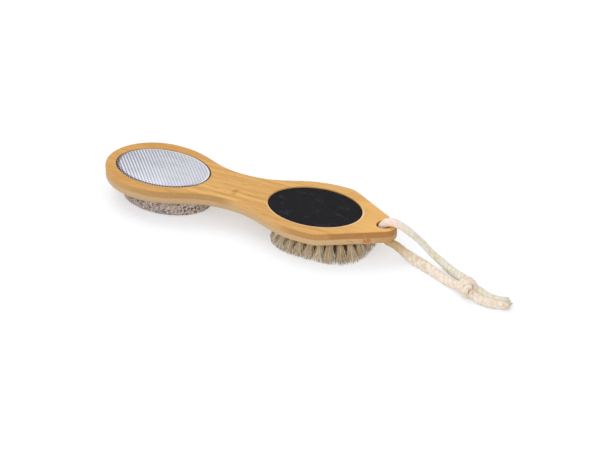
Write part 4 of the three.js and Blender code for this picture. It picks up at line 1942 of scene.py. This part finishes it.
@dataclass
class Studio:
    """A plain pale floor, soft light and a camera at the photograph's angle."""

    target: Vector = field(default_factory=lambda: Vector((54.2, -27.6, 24.8)) * MM)
    azimuth: float = math.radians(26.16)
    elevation: float = math.radians(32.07)
    distance: float = 2.1606
    lens: float = 180.0
    floor_half_width: float = 6.0
    floor_cloth: Colour = (0.86, 0.895, 0.95)
    floor_glow: float = 1.46
    floor_glow_share: float = 0.31
    sky: float = 0.7
    lamps: Sequence[Lamp] = (
        Lamp("key_lamp", (-1.3, 0.6, 2.2), 1.6, 17.0),
        Lamp("fill_lamp", (0.6, -1.9, 1.5), 1.8, 11.0),
        Lamp("low_lamp", (-0.9, -1.6, 0.45), 0.8, 2.5),
    )

    def build(self) -> None:
        """Builds the whole studio."""
        bpy.context.scene.view_settings.view_transform = "Standard"
        self.place_camera()
        self.lay_floor()
        self.light_sky()
        for lamp in self.lamps:
            self.hang(lamp)

    def place_camera(self) -> None:
        """Places the camera by its angles and its distance from the paddle."""
        across, rise = math.cos(self.elevation), math.sin(self.elevation)
        back = Vector((math.sin(self.azimuth) * across, -math.cos(self.azimuth) * across, rise))
        camera = bpy.data.objects.new("studio_camera", bpy.data.cameras.new("studio_camera"))
        camera.data.lens = self.lens
        camera.location = self.target + back * self.distance
        camera.rotation_mode = "QUATERNION"
        camera.rotation_quaternion = (-back).to_track_quat("-Z", "Y")
        bpy.context.scene.collection.objects.link(camera)
        bpy.context.scene.camera = camera

    def lay_floor(self) -> None:
        """Lays a white floor that keeps soft shadows and lets a camera below see through it."""
        blank = Blank()
        bmesh.ops.create_grid(blank.bm, x_segments=1, y_segments=1, size=self.floor_half_width)
        floor = bpy.data.objects.new("studio_floor", blank.mesh("studio_floor", outward=False))
        bpy.context.scene.collection.objects.link(floor)
        material = bpy.data.materials.new("studio_white")
        material.use_nodes = True
        bench = ShaderBench(material.node_tree)
        cloth = bench.node("ShaderNodeBsdfDiffuse", sockets={"Color": self.floor_cloth})
        glow = bench.node("ShaderNodeEmission", sockets={"Color": WHITE, "Strength": self.floor_glow})
        seen = self.seen_directly(bench)
        glowing = seen * self.floor_glow_share
        lit = bench.node("ShaderNodeMixShader", sockets={0: glowing, 1: cloth, 2: glow})
        clear = bench.node("ShaderNodeBsdfTransparent")
        below = bench.node("ShaderNodeNewGeometry", output="Backfacing")
        surface = bench.node("ShaderNodeMixShader", sockets={0: below * seen, 1: lit, 2: clear})
        bench.node("ShaderNodeOutputMaterial", sockets={"Surface": surface})
        floor.data.materials.append(material)

    @staticmethod
    def seen_directly(bench: ShaderBench) -> Wire:
        """1 for a camera, a reflection or a view through glass, otherwise 0.

        Args:
            bench: The tree that needs to know.

        Returns:
            The 1 or 0.
        """
        rays = [
            bench.node("ShaderNodeLightPath", output=name)
            for name in ("Is Camera Ray", "Is Glossy Ray", "Is Transmission Ray")
        ]
        return rays[0].most(rays[1]).most(rays[2])

    def light_sky(self) -> None:
        """Makes a white background whose light on the paddle is softer."""
        world = bpy.data.worlds.new("studio_sky")
        world.use_nodes = True
        bpy.context.scene.world = world
        bench = ShaderBench(world.node_tree)
        soft = bench.node("ShaderNodeBackground", sockets={"Color": WHITE, "Strength": self.sky})
        shown = bench.node("ShaderNodeBackground", sockets={"Color": WHITE, "Strength": 1.0})
        seen = self.seen_directly(bench)
        surface = bench.node("ShaderNodeMixShader", sockets={0: seen, 1: soft, 2: shown})
        bench.node("ShaderNodeOutputWorld", sockets={"Surface": surface})

    def hang(self, lamp: Lamp) -> None:
        """Hangs a lamp.

        Args:
            lamp: The lamp.
        """
        light = bpy.data.lights.new(lamp.name, "AREA")
        light.size = lamp.side
        light.energy = lamp.power
        hung = bpy.data.objects.new(lamp.name, light)
        hung.location = lamp.place
        hung.rotation_mode = "QUATERNION"
        hung.rotation_quaternion = (self.target - Vector(lamp.place)).to_track_quat("-Z", "Y")
        bpy.context.scene.collection.objects.link(hung)


def main() -> None:
    """Builds the studio and every part of the paddle, and reports each piece."""
    logging.basicConfig(level=logging.INFO, format="%(name)s: %(message)s")
    Studio().build()
    for assembly in (RopeLoop(), Paddle(), RaspPlate(), AbrasivePad(), PumiceStone(), BristleBrush()):
        for piece in assembly.build():
            log.info("%s: %s, %d faces", type(assembly).__name__, piece.name, len(piece.data.polygons))


if __name__ == "__main__":
    main()
